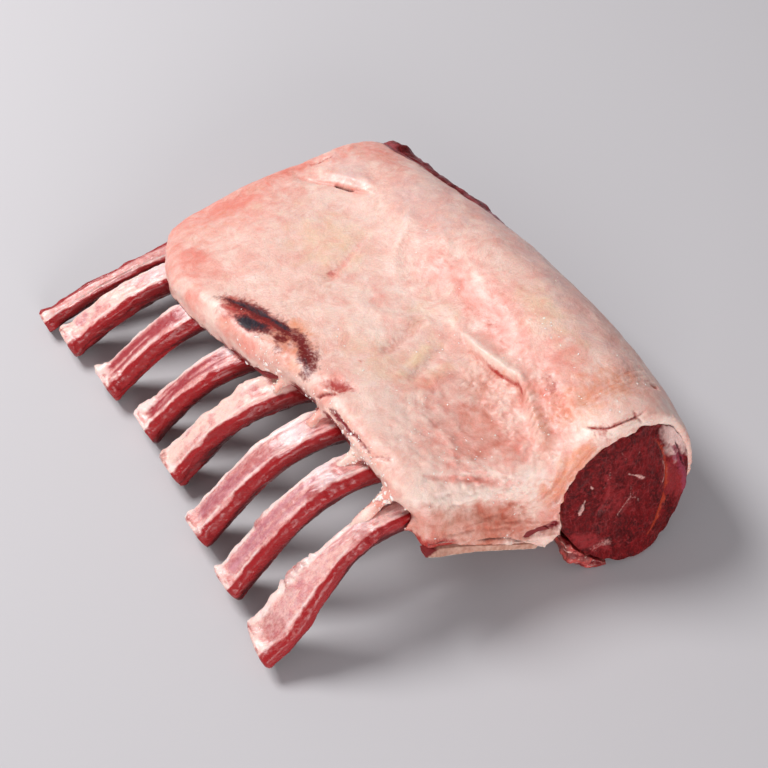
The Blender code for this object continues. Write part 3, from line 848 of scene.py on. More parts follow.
@dataclass
class FatCap:
    """The cap of fat over the ribs and the loin, with its folds, streaks, blood stain and cut end.

    It is melted together with a core of the layers below it, so that the cut end is one skin.
    """

    voxel: float = 1.22
    finest: float = 0.82
    zones: tuple[tuple[float, float, float, float], ...] = (
        (20, 86, 22, 46),  # the long fold
        (-88, -62, 24, 46),  # the slit
        (-48, 16, -42, -18),  # the stain
        (64, 90, 44, 86),  # the wrinkles
        (10, 30, -36, -18),  # the notch
    )
    folds: tuple[Feature, ...] = (
        # the long fold beside the loin, with the crease under its lower side, which is painted rust and red partly as
        # painted shade
        Stroke(((2, 32), (11, 32), (23, 32)), rise=0.5, left=3, right=3),
        Stroke(
            ((20, 31.5), (30, 32.2), (37, 33.6), (45, 35.6), (51, 37.5), (55, 37.8)),
            rise=2.7, left=2.8, right=1.5, mask="pale", strength=0.95, spread=2.0,
        ),
        Stroke(
            ((48, 37.2), (56, 36.8), (61, 35.8), (66, 34.2), (74, 31.8), (84, 28.5)),
            rise=2.4, left=3.2, right=2.2, mask="pale", strength=0.6, spread=2.2,
        ),
        # partly painted shade: the crease under the fold and the second fold beside it are painted rust and red
        Stroke(
            ((25, 29.8), (31, 29.8), (40, 31), (47, 33), (51, 34.4), (55, 34.6), (59, 33), (63, 30.5)),
            rise=-1.3, left=0.7, right=3.0, mask="rust", strength=0.6, spread=1.4,
        ),
        Stroke(((37, 31.2), (44, 32.6), (51, 35.0), (55, 35.3), (58, 34.2)), rise=-0.4, left=0.4, right=0.5, mask="red", strength=0.8, spread=0.6),
        Stroke(((57, 40.6), (60, 39), (66, 37), (73, 35.2), (79, 33.8)), rise=-0.8, left=2.4, right=2.2, mask="rust", strength=0.4, spread=2.0),
        Stroke(((56, 42.5), (61, 41.8), (68, 40), (76, 37.5)), rise=0.9, left=2.0, right=2.0, mask="coral", strength=0.5, spread=2.0),
        *(
            Stroke(((x - 1.0, 40.4 - 0.25 * (x - 56)), (x + 0.9, 34.4 - 0.32 * (x - 56))), rise=-0.5, left=0.5, right=0.6, mask="brown", strength=0.8, spread=0.7)
            for x in (57.5, 60.5, 63.5, 66.8, 70.0, 73.5)
        ),
        Patch((62, 43.5), (6, 2.6), -10, rise=-0.5, mask="red", strength=0.45, soft=0.9),
        Patch((78, 31.5), (7, 3.0), -20, mask="brown", strength=0.7, soft=0.9),
        Patch((70, 33.5), (8, 2.4), -20, mask="orange", strength=0.4, soft=0.9),
    )
    creases: tuple[Feature, ...] = (
        # between the top and the loin-end cut, and at the rib side
        Stroke(((71, -17), (75, -9), (78.4, 0), (81, 6), (84, 12.5)), rise=-1.2, left=1.6, right=0.9, mask="coral", strength=0.8, spread=1.0, ragged=0.3),
        Patch((73.5, -2), (4, 13), -28, rise=-0.7, mask="coral", strength=0.6, soft=0.9, ragged=0.6),
        Stroke(((54, -29), (57.5, -25), (62, -21.5)), rise=-0.8, left=0.7, right=0.7, mask="red", strength=0.6, spread=0.7),
        Stroke(((26, -24), (22, -28.5), (19, -33)), rise=-1.4, left=0.8, right=0.8, mask="red", strength=0.8, spread=0.9),
        # painted shade: the notch's hole is painted near-black
        Patch((18.8, -33.5), (2.0, 1.6), 0, rise=-2.0, mask="dark", strength=1.0, soft=0.4),
        Stroke(((27, -29.6), (34, -28.9), (40, -28.6), (47, -27.6), (55.5, -26.6)), rise=-1.2, left=0.7, right=0.9, mask="lean", strength=1.0, spread=0.9, ragged=1.1),
        # the reddish groove across the middle
        Stroke(((-47, 31), (-39, 19.5), (-34.5, 12), (-31.5, 6), (-28, 1)), rise=-0.9, left=1.2, right=4.0, mask="coral", strength=0.55, spread=2.0),
        # the flap at the far end, with a short open slit, painted near-black inside as painted shade
        Stroke(((-99, 25), (-93, 24.5), (-86, 29), (-79, 33.5), (-72, 37.2), (-62, 43)), rise=-0.9, left=0.8, right=2.2, mask="coral", strength=0.6, spread=1.4),
        Stroke(((-80.5, 32.6), (-78, 33.8), (-75, 35.2), (-71.5, 37.4)), rise=-1.6, left=0.5, right=0.5, mask="dark", strength=0.95, spread=0.45),
        Stroke(((-97, 33), (-90, 33), (-83, 36.5), (-76, 40.5), (-66, 45)), rise=1.1, left=3.5, right=2.2, mask="pale", strength=0.35, spread=2.5),
        Patch((-84, 46), (14, 8), 15, rise=1.0, soft=0.7),
        Stroke(((-101, 31), (-98.5, 34), (-98, 38), (-96, 43)), rise=-0.8, left=0.6, right=0.6, mask="red", strength=0.55, spread=0.6),
        # over the edge of the loin muscle
        Stroke(((83, 43), (87, 46.5), (89.4, 50), (90.2, 55), (90.0, 61), (88.5, 67)), rise=-1.2, left=0.6, right=0.6, mask="red", strength=0.75, spread=0.7),
        Stroke(((87, 61.5), (90, 61.6), (92, 63.5), (92.5, 66.5)), rise=-0.9, left=0.5, right=0.5, mask="red", strength=0.8, spread=0.5),
        Patch((89, 47.5), (2.5, 3.0), 0, mask="red", strength=0.5, soft=0.8),
        Patch((76.6, 80), (1.2, 1.4), 0, rise=-1.5, mask="rust", strength=1.0, soft=0.5),
    )
    blushes: tuple[Feature, ...] = (
        Patch((-99, -10), (13, 26), 0, mask="coral", strength=0.95, soft=0.8),
        Patch((-78, -38), (24, 9), 8, mask="coral", strength=0.9, soft=0.8),
        Patch((-104, 16), (8, 24), 0, mask="coral", strength=0.9, soft=0.8),
        Patch((-90, -20), (14, 20), 0, mask="orange", strength=0.25, soft=0.9),
        Patch((-84, -8), (18, 24), 0, mask="coral", strength=0.45, soft=0.8),
        Patch((-101, 12), (7, 18), 0, mask="rust", strength=0.35, soft=0.8),
        Patch((-88, 60), (18, 12), 0, mask="coral", strength=0.6, soft=0.8),
        Patch((-32, 5.5), (4, 2.4), 100, mask="red", strength=0.4, soft=0.8),
        Patch((-12, 14), (3.5, 9), 65, mask="coral", strength=0.5, soft=0.8),
        Patch((22, -22.5), (6, 3.2), 35, rise=-0.9, mask="red", strength=0.75, soft=0.7),
        Patch((18, -22), (10, 6), 35, mask="coral", strength=0.6, soft=0.8),
        Patch((15.5, -9), (0.9, 0.7), 0, mask="rust", strength=0.9, soft=0.4),
        Stroke(((15, -1), (13.5, 7), (9, 17), (6.5, 24)), rise=-1.1, left=3, right=3, mask="rust", strength=0.38, spread=3.2),
        Stroke(((32, 1), (29, 8), (24.5, 17), (21, 26)), rise=-1.0, left=2, right=2.4, mask="rust", strength=0.28, spread=2.0),
        Stroke(((28, -3), (24.5, 9), (19, 20)), rise=0.4, left=2, right=2, mask="yellow", strength=0.7, spread=3.0),
        Stroke(((38, 2), (34, 12), (30, 22)), rise=0.6, left=2.5, right=2.5, mask="yellow", strength=0.5, spread=3.0),
        Patch((63, 12), (21, 19), 8, rise=-1.6, mask="coral", strength=0.62, soft=0.8, ragged=0.6),
        Patch((60, 16), (13, 11), 8, rise=-0.4, mask="brown", strength=0.45, soft=0.9, ragged=0.6),
        Patch((46, 25), (12, 6), 15, rise=-0.8, mask="brown", strength=0.5, soft=0.9),
        Patch((68, 21), (3.2, 6.0), 20, rise=-0.4, mask="rust", strength=0.5, soft=0.9),
        Patch((55, 6), (7, 2.2), 60, rise=-0.4, mask="rust", strength=0.3, soft=0.9),
        Patch((70, 5), (3, 7), -10, rise=-0.3, mask="rust", strength=0.35, soft=0.9),
        Stroke(((46, -4), (54, 0), (63, 1), (72, -2)), rise=0.6, left=1.6, right=1.6, mask="pale", strength=0.5, spread=1.6, ragged=0.8),
        Stroke(((52, 9), (60, 8), (70, 11)), rise=0.5, left=1.2, right=1.4, mask="pale", strength=0.4, spread=1.2, ragged=0.8),
        Stroke(((-3, 41.5), (8, 43), (20, 43), (31, 41.5), (43, 43)), rise=-0.8, left=6, right=6, mask="coral", strength=0.75, spread=6.5),
        Patch((24, 41), (8, 3), 0, mask="red", strength=0.3, soft=0.9),
        Patch((-6, 42), (13, 7), 0, mask="coral", strength=0.75, soft=0.9),
        Patch((18, 49), (13, 6), 0, mask="coral", strength=0.7, soft=0.9),
        Patch((51, 21), (9, 8), 0, mask="rust", strength=0.35, soft=0.9, ragged=0.5),
        Patch((69, 43), (7, 5), 0, mask="coral", strength=0.75, soft=0.9),
        Patch((-84, 42), (12, 7), 0, mask="violet", strength=0.7, soft=0.9),
        Patch((56, 52), (20, 9), 0, mask="coral", strength=0.5, soft=0.8),
        Patch((72, 58), (11, 16), 0, mask="orange", strength=0.45, soft=0.9),
        Patch((74, 62), (7, 14), 0, mask="brown", strength=0.45, soft=0.9),
        Patch((40, 82), (30, 7), -4, mask="brown", strength=0.45, soft=0.8),
        Patch((-45, 56), (24, 14), 0, mask="violet", strength=0.55, soft=0.8),
        Patch((10, 76), (64, 10), 2, mask="violet", strength=0.6, soft=0.8),
        Patch((62, 76), (14, 9), 2, mask="violet", strength=0.5, soft=0.8),
        Patch((-50, 14), (26, 15), 0, mask="yellow", strength=0.5, soft=0.9),
        Patch((36, 58), (24, 9), 0, mask="yellow", strength=0.45, soft=0.9),
        Patch((4, -6), (18, 12), 0, mask="yellow", strength=0.3, soft=0.9),
        Patch((-2, 4), (16, 10), 20, mask="pale", strength=0.6, soft=0.9),
        Patch((-8, 33), (10, 22), 60, mask="coral", strength=0.4, soft=0.9),
        Patch((4, 52), (28, 9), 0, mask="coral", strength=0.4, soft=0.9),
        Patch((34, 46), (22, 8), 0, mask="coral", strength=0.55, soft=0.9),
        Patch((62, 38), (16, 9), -10, mask="coral", strength=0.65, soft=0.9),
        Patch((74, 46), (10, 9), 0, mask="orange", strength=0.55, soft=0.9),
        Patch((72, 54), (9, 10), 0, mask="rust", strength=0.25, soft=0.9, ragged=0.6),
        Patch((-8, 22), (26, 12), 20, mask="pale", strength=0.55, soft=0.8),
        Patch((38, -14), (24, 9), 0, mask="pale", strength=0.6, soft=0.8),
        Patch((-66, 30), (16, 7), 15, mask="pale", strength=0.5, soft=0.8),
        Patch((84, 45), (6, 7), 0, mask="pale", strength=0.7, soft=0.8),
        Patch((-28, -9), (8, 14), 0, rise=0.2, mask="brown", strength=0.4, soft=0.6),
        Patch((-29, -8), (6, 12), 0, mask="pale", strength=0.35, soft=0.6),
        Stroke(((-47, 48), (-38, 42), (-30, 33), (-22, 27), (-12, 24)), rise=0.9, left=3.0, right=2.4, mask="pale", strength=0.5, spread=2.2, ragged=0.7),
        Stroke(((-16, 4), (-4, 9), (6, 18), (14, 27)), rise=0.7, left=2.4, right=2.0, mask="pale", strength=0.5, spread=1.8, ragged=0.7),
        Stroke(((-30, 52), (-22, 49.5), (-14, 46.5), (-11, 40)), rise=0.5, left=1.2, right=1.2, mask="pale", strength=0.3, spread=1.2),
    )
    stain: tuple[Feature, ...] = (
        Patch((-8, -25), (14, 9), 12, mask="orange", strength=0.5, soft=0.9),
        Patch((-12, -19.5), (5.5, 3.6), 0, mask="orange", strength=0.95, soft=0.8),
        Patch((1, -28), (9, 5), -30, mask="orange", strength=0.5, soft=0.8),
        Patch((-28, -32.5), (15, 6.5), 16, mask="red", strength=0.75, soft=0.6),
        Patch((-30, -32), (13, 5.0), 16, mask="rust", strength=0.9, soft=0.5),
        Patch((-8, -28), (10, 4.0), 16, mask="rust", strength=0.8, soft=0.7, ragged=0.7),
        Stroke(((-46, -39), (-40, -34.5), (-30, -29.5), (-22, -26.5), (-13, -24), (-5, -23), (1, -23.5), (6.5, -24.5), (10, -27), (11.5, -31)), rise=-0.3, left=2.5, right=2.5, mask="blood", strength=1.0, spread=3.1, ragged=0.6),
        Stroke(((-2, -25), (5, -26), (9, -28), (10.5, -31)), mask="blood", strength=0.9, spread=3.2, ragged=0.6),
        Stroke(((-45, -37.5), (-38, -33), (-29, -28.4), (-20, -25.2), (-10, -22.6)), mask="clot", strength=0.75, spread=1.1, ragged=0.9),
        Patch((-24, -33.3), (8.8, 3.6), 22, mask="blood", strength=1.0, soft=0.5, ragged=0.4),
        Patch((-25, -33.8), (7.6, 2.7), 22, mask="clot", strength=1.0, soft=0.6, ragged=0.5),
        Patch((-11, -28.6), (3.2, 2.6), 30, mask="blood", strength=0.9, soft=0.7, ragged=0.5),
        Patch((-7, -31.8), (2.2, 1.8), 0, mask="blood", strength=0.7, soft=0.7, ragged=0.5),
        Patch((-16, -30.6), (4.2, 2.2), 30, mask="blood", strength=0.75, soft=0.7, ragged=0.5),
        Stroke(((2, -25.5), (6, -26.5), (9, -28.5)), mask="clot", strength=0.5, spread=1.0, ragged=0.9),
    )
    # where the cap is still joined to a bone, as a flap along the bone's far side
    webs: tuple[tuple[float, tuple[tuple[float, float, float], ...]], ...] = (
        (6.4, ((70.0, -18, 52), (68.0, -25, 48.6), (67.6, -31, 45.2), (68.2, -37, 42.0), (69.6, -44, 38.0))),
        (5.0, ((48.5, -18, 52), (46.8, -25, 49.4), (46.8, -31, 47.4), (47.6, -37, 45.4))),
        (4.6, ((24.5, -18, 50), (22.8, -26, 47.6), (23.0, -31, 45.6), (24.2, -37, 44.0))),
        (4.2, ((2.5, -28, 45), (0.5, -34, 42.4), (0.6, -39, 39.8))),
        (3.6, ((76, -18, 46), (78.0, -23.5, 41.5), (77.6, -27.5, 38.6))),
    )

    def build(self, sweep: "RibSweep", scatter: "Scatter") -> bpy.types.Object:
        """Make the cap, with its webs to the bones and the crumbs of fat on it, which partly stand in for wet glints.

        Args:
            sweep: The geometry nodes that sweep the webs.
            scatter: The geometry nodes that scatter the crumbs.

        Returns:
            The finished cap.
        """
        finish = FAT.material()
        cap = self._melted(sweep, finish)
        cap.relax(5)
        near_rim = ease(cap.points[:, 0], 66, 80) * ease(cap.points[:, 2], 38, 46) * (1 - ease(cap.points[:, 1], 20, 34))
        cap.relax(30, 0.5, near_rim)
        cap.refine(self._limit)
        LOG.info("fat cap refined to %d triangles", len(cap.faces))
        coarse, fine, fray = Noise(11), Noise(12), Noise(13)
        points, normals = cap.points, cap.normals()
        seen = ease(normals[:, 2], -0.25, 0.1)
        near = ease(normals[:, 0], 0.3, 0.7) * ease(points[:, 0], 60, 75)
        lumps = 0.9 * coarse(points, (30, 22, 30), 2) + 0.35 * fine(points, 7, 3)
        lumps *= np.maximum(seen, near)
        lumps += 0.45 * near * fine(points + 50, (9, 6, 2.2), 3)
        rag = 1.1 * fine(points, (6, 20, 20), 3) + 0.9 * np.maximum(coarse(points + 90, (2.6, 9, 9), 3), -0.1) * ease(points[:, 0], -20, 10)
        frill = bell(past_edge(points), 5) * ease(points[:, 2], 20, 30) * (rag - 0.3)
        points += normals * lumps[:, None]
        points[:, 1] -= frill
        lower = points[:, 2] - np.interp(points[:, 1], (-24, -19, -7, 13, 25), (36.6, 35.2, 30.5, 22.2, 20.0))
        points[:, 2] -= 1.1 * ease(points[:, 0], 80, 87) * (1 - ease(lower, 0, 7)) * (1 - ease(points[:, 1], 20, 28))
        points[:, 2] = np.maximum(points[:, 2], 0.2)
        self._paint_edges(cap, fray)
        cap.work(self.folds + self.creases + self.blushes + self._wrinkles() + self._near_cut(), fray)
        cap.work(self.stain, fray)
        self._mark_crumbs_and_glints(cap, fray)
        piece = cap.piece("fat_cap_surface", finish, "fat", ["fat_cap"])
        crumb_and_glint = CRUMB_AND_GLINT.material()
        # partly painted glints: white specks and scraps of fat strewn where the fat glints
        scatter.piece("fat_specks_and_glints", piece, "specks", 0.36, 380000, 3, crumb_and_glint, "fat")
        scatter.piece("fat_scraps_and_glints", piece, "scraps", 0.85, 170000, 5, crumb_and_glint, "fat")
        return piece

    def _mark_crumbs_and_glints(self, cap: Surface, fray: Noise) -> None:
        """Say how thickly the specks and the scraps lie; both are crumbs of fat that partly stand in for wet glints."""
        points, normals = cap.points, cap.normals()
        up = ease(normals[:, 2], 0.0, 0.4)
        near = ease(normals[:, 0], 0.4, 0.8) * ease(points[:, 0], 78, 84)
        edge = bell(past_edge(points) - 1.5, 3.0) * ease(points[:, 0], -25, 0) * ease(points[:, 2], 30, 38)
        patchy = ease(fray(points + 700, 12, 3), 0.0, 0.7)
        share = 0.12 * up * patchy * ease(points[:, 0], -60, 40) + 0.35 * near * patchy + 0.8 * edge * (up + 0.4)
        cap.masks["specks"] = np.clip(share, 0, 1)
        cap.masks["scraps"] = np.clip(edge * ease(fray(points + 500, 7, 2), -0.1, 0.5), 0, 1)

    def _melted(self, sweep: "RibSweep", finish: bpy.types.Material) -> Surface:
        """The cap over a core of the loin and the rib meat, which lies back from their own pieces."""
        cap = Surface.of_node("fat_cap", 1, 60, 0.4)
        normals = cap.normals()
        inside = ease(past_edge(cap.points), 3, 9) * ease(-normals[:, 2], 0.0, 0.5)
        cap.points += normals * (2.4 * inside)[:, None]
        drop = (1 - ease(past_edge(cap.points), 2, 10)) * ease(np.interp(cap.points[:, 0], ALONG_X, FLANK_Z) - cap.points[:, 2], 3, 12)
        cap.points[:, 2] -= 2.2 * drop
        eye = Surface.of_node("loin_eye", 1, 40, 0.9)
        eye.points -= eye.normals() * 1.2
        eye.points[:, 0] -= 2.2 * ease(eye.points[:, 0], 40, 92) - 1.5 * (1 - ease(eye.points[:, 0], -100, -60))
        meat = Surface.of_node("rib_meat", 0, 40, 0.5)
        meat.refine(lambda middle, facing: np.full(len(middle), 4.0))
        meat.points += meat.normals() * (1.25 * ease(meat.points[:, 0], 72, 82) - 0.8)[:, None]
        tuck(meat.points)
        webs = []
        for number, (width, line) in enumerate(self.webs):
            mesh = sweep.mesh(f"web_{number}", smooth_line(line), width, 3.4, number, finish)
            webs.append(Surface.of_mesh(mesh))
            bpy.data.meshes.remove(mesh)
        return Surface.fused((cap, eye, meat, *webs), self.voxel)

    def _limit(self, middle: Array, facing: Array) -> Array:
        """Fine where there is detail, as it is elsewhere."""
        x, y, _ = middle.T
        detailed = (x > 76) & (facing[:, 0] > 0.3)
        for low_x, high_x, low_y, high_y in self.zones:
            detailed |= (x > low_x) & (x < high_x) & (y > low_y) & (y < high_y) & (facing[:, 2] > 0.2)
        return np.where(detailed, self.finest, 9.0)

    def _wrinkles(self) -> tuple[Feature, ...]:
        """The bundle of fine wrinkles that fans out across the loin near its cut end."""
        steps = ((-1.5, 0.6), (0, 1.0), (1.7, 0.7), (3.0, 1.0), (4.6, 0.6), (6.0, 0.9), (7.6, 0.7), (9.4, 0.6))
        base = ((71.5, 44), (72, 50), (71.8, 58), (70.5, 67), (68.5, 76), (66, 84))
        return tuple(
            Stroke(
                tuple((x + 1.0 + step * (0.35 + 0.65 * (y - 44) / 40), y) for x, y in base),
                rise=-0.45 * depth, left=0.5, right=0.9, mask="rust", strength=0.45 * depth, spread=0.6,
            )
            for step, depth in steps
        )

    def _near_cut(self) -> tuple[Feature, ...]:
        """The cut through the cap: a pale roll over a brownish band, and strands that run up beside the loin. The roll
        is painted paler partly as a painted highlight where it faces up. The band, and the grooves and cracks below the
        roll, are painted brown and rust partly as painted shade, and one crack is painted near-black as painted shade.
        """
        side = Side.NEAR
        strands = ((44, 57.5), (40, 55.3), (36.5, 51.8), (32, 46.6), (28.5, 40.5), (25, 35.5), (20, 31))
        features: list[Feature] = [
            # partly painted highlight: the roll that faces up is painted pale
            Patch((-2, 47), (26, 7.5), -6, rise=1.0, mask="pale", strength=1.0, soft=0.5, side=side),
            Patch((-6, 45), (9, 3), -4, rise=0.6, soft=0.7, side=side),
            Patch((9, 45.5), (7, 2.6), 12, rise=0.6, soft=0.7, side=side),
            Patch((18, 44), (9, 8), 30, rise=0.3, mask="pale", strength=0.9, soft=0.8, side=side),
            # partly painted shade: the band under the roll is painted brown, coral and rust
            Patch((-2, 33), (26, 8.5), -20, mask="brown", strength=1.0, soft=0.6, side=side),
            Patch((0, 32), (26, 9.0), -20, mask="coral", strength=0.55, soft=0.7, side=side),
            Patch((16, 26), (11, 7), -30, mask="brown", strength=0.8, soft=0.6, side=side),
            Patch((13, 27), (10, 6), -30, mask="rust", strength=0.8, soft=0.9, ragged=0.7, side=side),
            Patch((8, 29), (17, 6.0), -24, mask="rust", strength=0.75, soft=0.9, ragged=0.9, side=side),
            Patch((-20, 41), (7, 6), -30, mask="coral", strength=0.8, soft=0.8, side=side),
            Patch((-4, 37.5), (18, 2.6), -12, mask="pale", strength=0.45, soft=0.9, ragged=0.6, side=side),
            # partly painted shade: the groove under the roll and the cracks in the band are painted rust
            Stroke(((-14, 41), (-4, 41.5), (3, 41), (10, 38), (16, 35)), rise=-0.5, left=1.2, right=0.6, mask="rust", strength=0.3, spread=1.0, ragged=0.8, side=side),
            Stroke(((-8, 37), (2, 36), (12, 33)), rise=-0.4, left=0.6, right=0.5, mask="rust", strength=0.3, spread=0.6, ragged=0.8, side=side),
            Stroke(((6, 33), (13, 29.5), (19, 26)), rise=-0.5, left=0.6, right=0.5, mask="rust", strength=0.35, spread=0.7, ragged=0.8, side=side),
            # painted shade: this crack is painted near-black
            Stroke(((-5, 30.6), (3, 27.4), (9, 24.2), (13.5, 19.5), (20.6, 16)), rise=-0.9, left=0.4, right=0.5, mask="dark", strength=0.8, spread=0.45, side=side),
            Stroke(((14.5, 20.4), (20.8, 20.9), (25.5, 22.4), (29, 24.2)), rise=-2.0, left=1.2, right=1.4, mask="lean", strength=1.0, spread=1.7, side=side),
            # partly painted shade: these cracks are painted rust
            Stroke(((-16, 37), (-9, 35.5), (-3, 34.8)), rise=-0.5, left=0.4, right=0.4, mask="rust", strength=0.4, spread=0.4, ragged=1.2, side=side),
            Stroke(((2, 31.5), (8, 30), (12, 27)), rise=-0.6, left=0.4, right=0.5, mask="rust", strength=0.5, spread=0.4, ragged=1.2, side=side),
            Stroke(((12, 38), (17, 33), (20, 30)), rise=-0.6, left=0.5, right=0.5, mask="rust", strength=0.45, spread=0.5, ragged=1.2, side=side),
            Stroke(((17, 24.8), (23, 24.8), (28.5, 27.6)), rise=0.8, left=1.0, right=1.0, mask="pale", strength=0.8, spread=0.9, side=side),
            Stroke(((16, 17.6), (22, 18.2), (28, 20)), rise=0.5, left=0.8, right=0.8, mask="pale", strength=0.6, spread=0.7, side=side),
            Stroke(strands, mask="orange", strength=0.6, spread=4.6, ragged=0.9, side=side),
            Stroke(strands, mask="coral", strength=0.5, spread=5.5, ragged=0.9, side=side),
            Patch((25, 28), (5, 4), 45, mask="coral", strength=0.9, soft=0.7, side=side),
            Patch((76, 44), (8, 14), 10, mask="pale", strength=0.9, soft=0.7, side=side),
            Patch((80, 38), (4, 12), 10, mask="violet", strength=0.3, soft=0.9, side=side),
            Patch((34, 54), (7, 4), 40, mask="pale", strength=0.8, soft=0.7, side=side),
            Stroke(((46, 57.5), (54, 59.5), (62, 57.5), (68, 52)), rise=0.3, left=1.0, right=1.0, mask="pale", strength=0.9, spread=2.0, side=side),
        ]
        for count in range(9):
            shift = -6.6 + 1.25 * count
            line = tuple((y - 0.7 * shift, z + 0.75 * shift) for y, z in strands)
            mask, strength, rise = (("pale", 0.7, 0.6), ("coral", 0.6, -0.6), ("orange", 0.6, 0.4))[count % 3]
            features.append(Stroke(line, rise=rise, left=0.6, right=0.6, mask=mask, strength=strength, spread=0.65, ragged=1.1, side=side))
        return tuple(features)

    def _paint_edges(self, cap: Surface, fray: Noise) -> None:
        """Let the lean show where the cap thins out on the back, and blush along its rib-side edge."""
        points, normals = cap.points, cap.normals()
        x, y, z = points.T
        middle_y = np.interp(x, (-107, -20, 35, 107), (51.4, 56.4, 59.4, 56.4))
        middle_z = np.interp(x, (-107, -20, 35, 107), (19, 26.3, 28, 28))
        angle = np.degrees(np.arctan2(z - middle_z, y - middle_y))
        bare = np.interp(x, (-107, -80, -20, 35, 107), (62, 50, 32, 24, 4))
        thin = 1 - ease(angle + 7 * fray(points, 9, 3), bare - 6, bare + 2)
        cap.paint("lean", 0.9 * thin * ease(y, 55, 65) * (1 - ease(x, 60, 80)))
        edge = 1 - ease(past_edge(points), 2, 14)
        cap.paint("coral", 0.6 * edge * ease(normals[:, 2], -0.1, 0.3) * ease(fray(points, 8, 2), -0.4, 0.6))
        foot = 1 - ease(normals[:, 2], -0.35, 0.1)
        end = ease(x, 72, 78)
        cap.paint("lean", foot * (1 - ease(normals[:, 0], 0.2, 0.5)) * (1 - end))
        web = (past_edge(points) < -1.5) * ease(-past_edge(points), 1.5, 4)
        cap.paint("pale", 0.7 * web)
        low = z - np.interp(y, (-24, -19, -7, 13, 25), (36.6, 35.2, 30.5, 22.2, 20.0))
        lip = end * (1 - ease(y, -16, -8))
        cap.paint("coral", lip * (1 - ease(low, 5, 12)) * ease(fray(points, 5, 2), -0.9, 0.1))
        cap.paint("red", lip * (1 - ease(low, 0.5, 4)) * 0.8)
        far = ease(-normals[:, 0], 0.4, 0.8)
        cap.paint("coral", far * ease(fray(points, (9, 9, 5), 3), -0.6, 0.4))
        cap.paint("lean", 0.8 * far * (1 - ease(z - np.interp(x, ALONG_X, CROWN_Z), 2, 7)))
        cap.paint("pale", 0.55 * ease(fray(points, 22, 3), 0.0, 0.8))
        cap.paint("coral", 0.5 * ease(fray(points + 400, (24, 16, 20), 4), 0.15, 0.9))
        cap.paint("yellow", 0.4 * ease(fray(points + 800, 26, 3), 0.1, 0.8))
        cap.paint("brown", 0.3 * ease(fray(points + 200, (14, 10, 12), 4), 0.2, 0.9))
        rim = ease(-x, 78, 104) * ease(normals[:, 2], -0.3, 0.2)
        turn = np.arctan2(y - 12, x + 55)
        fibres = fray(np.stack([turn * 60, np.hypot(x + 55, y - 12), z], axis=1), (1.6, 16, 16), 3)
        cap.paint("coral", rim * (0.45 + 0.6 * fibres))


# ---- The loin muscle ------------------------------------------------------------------------------------


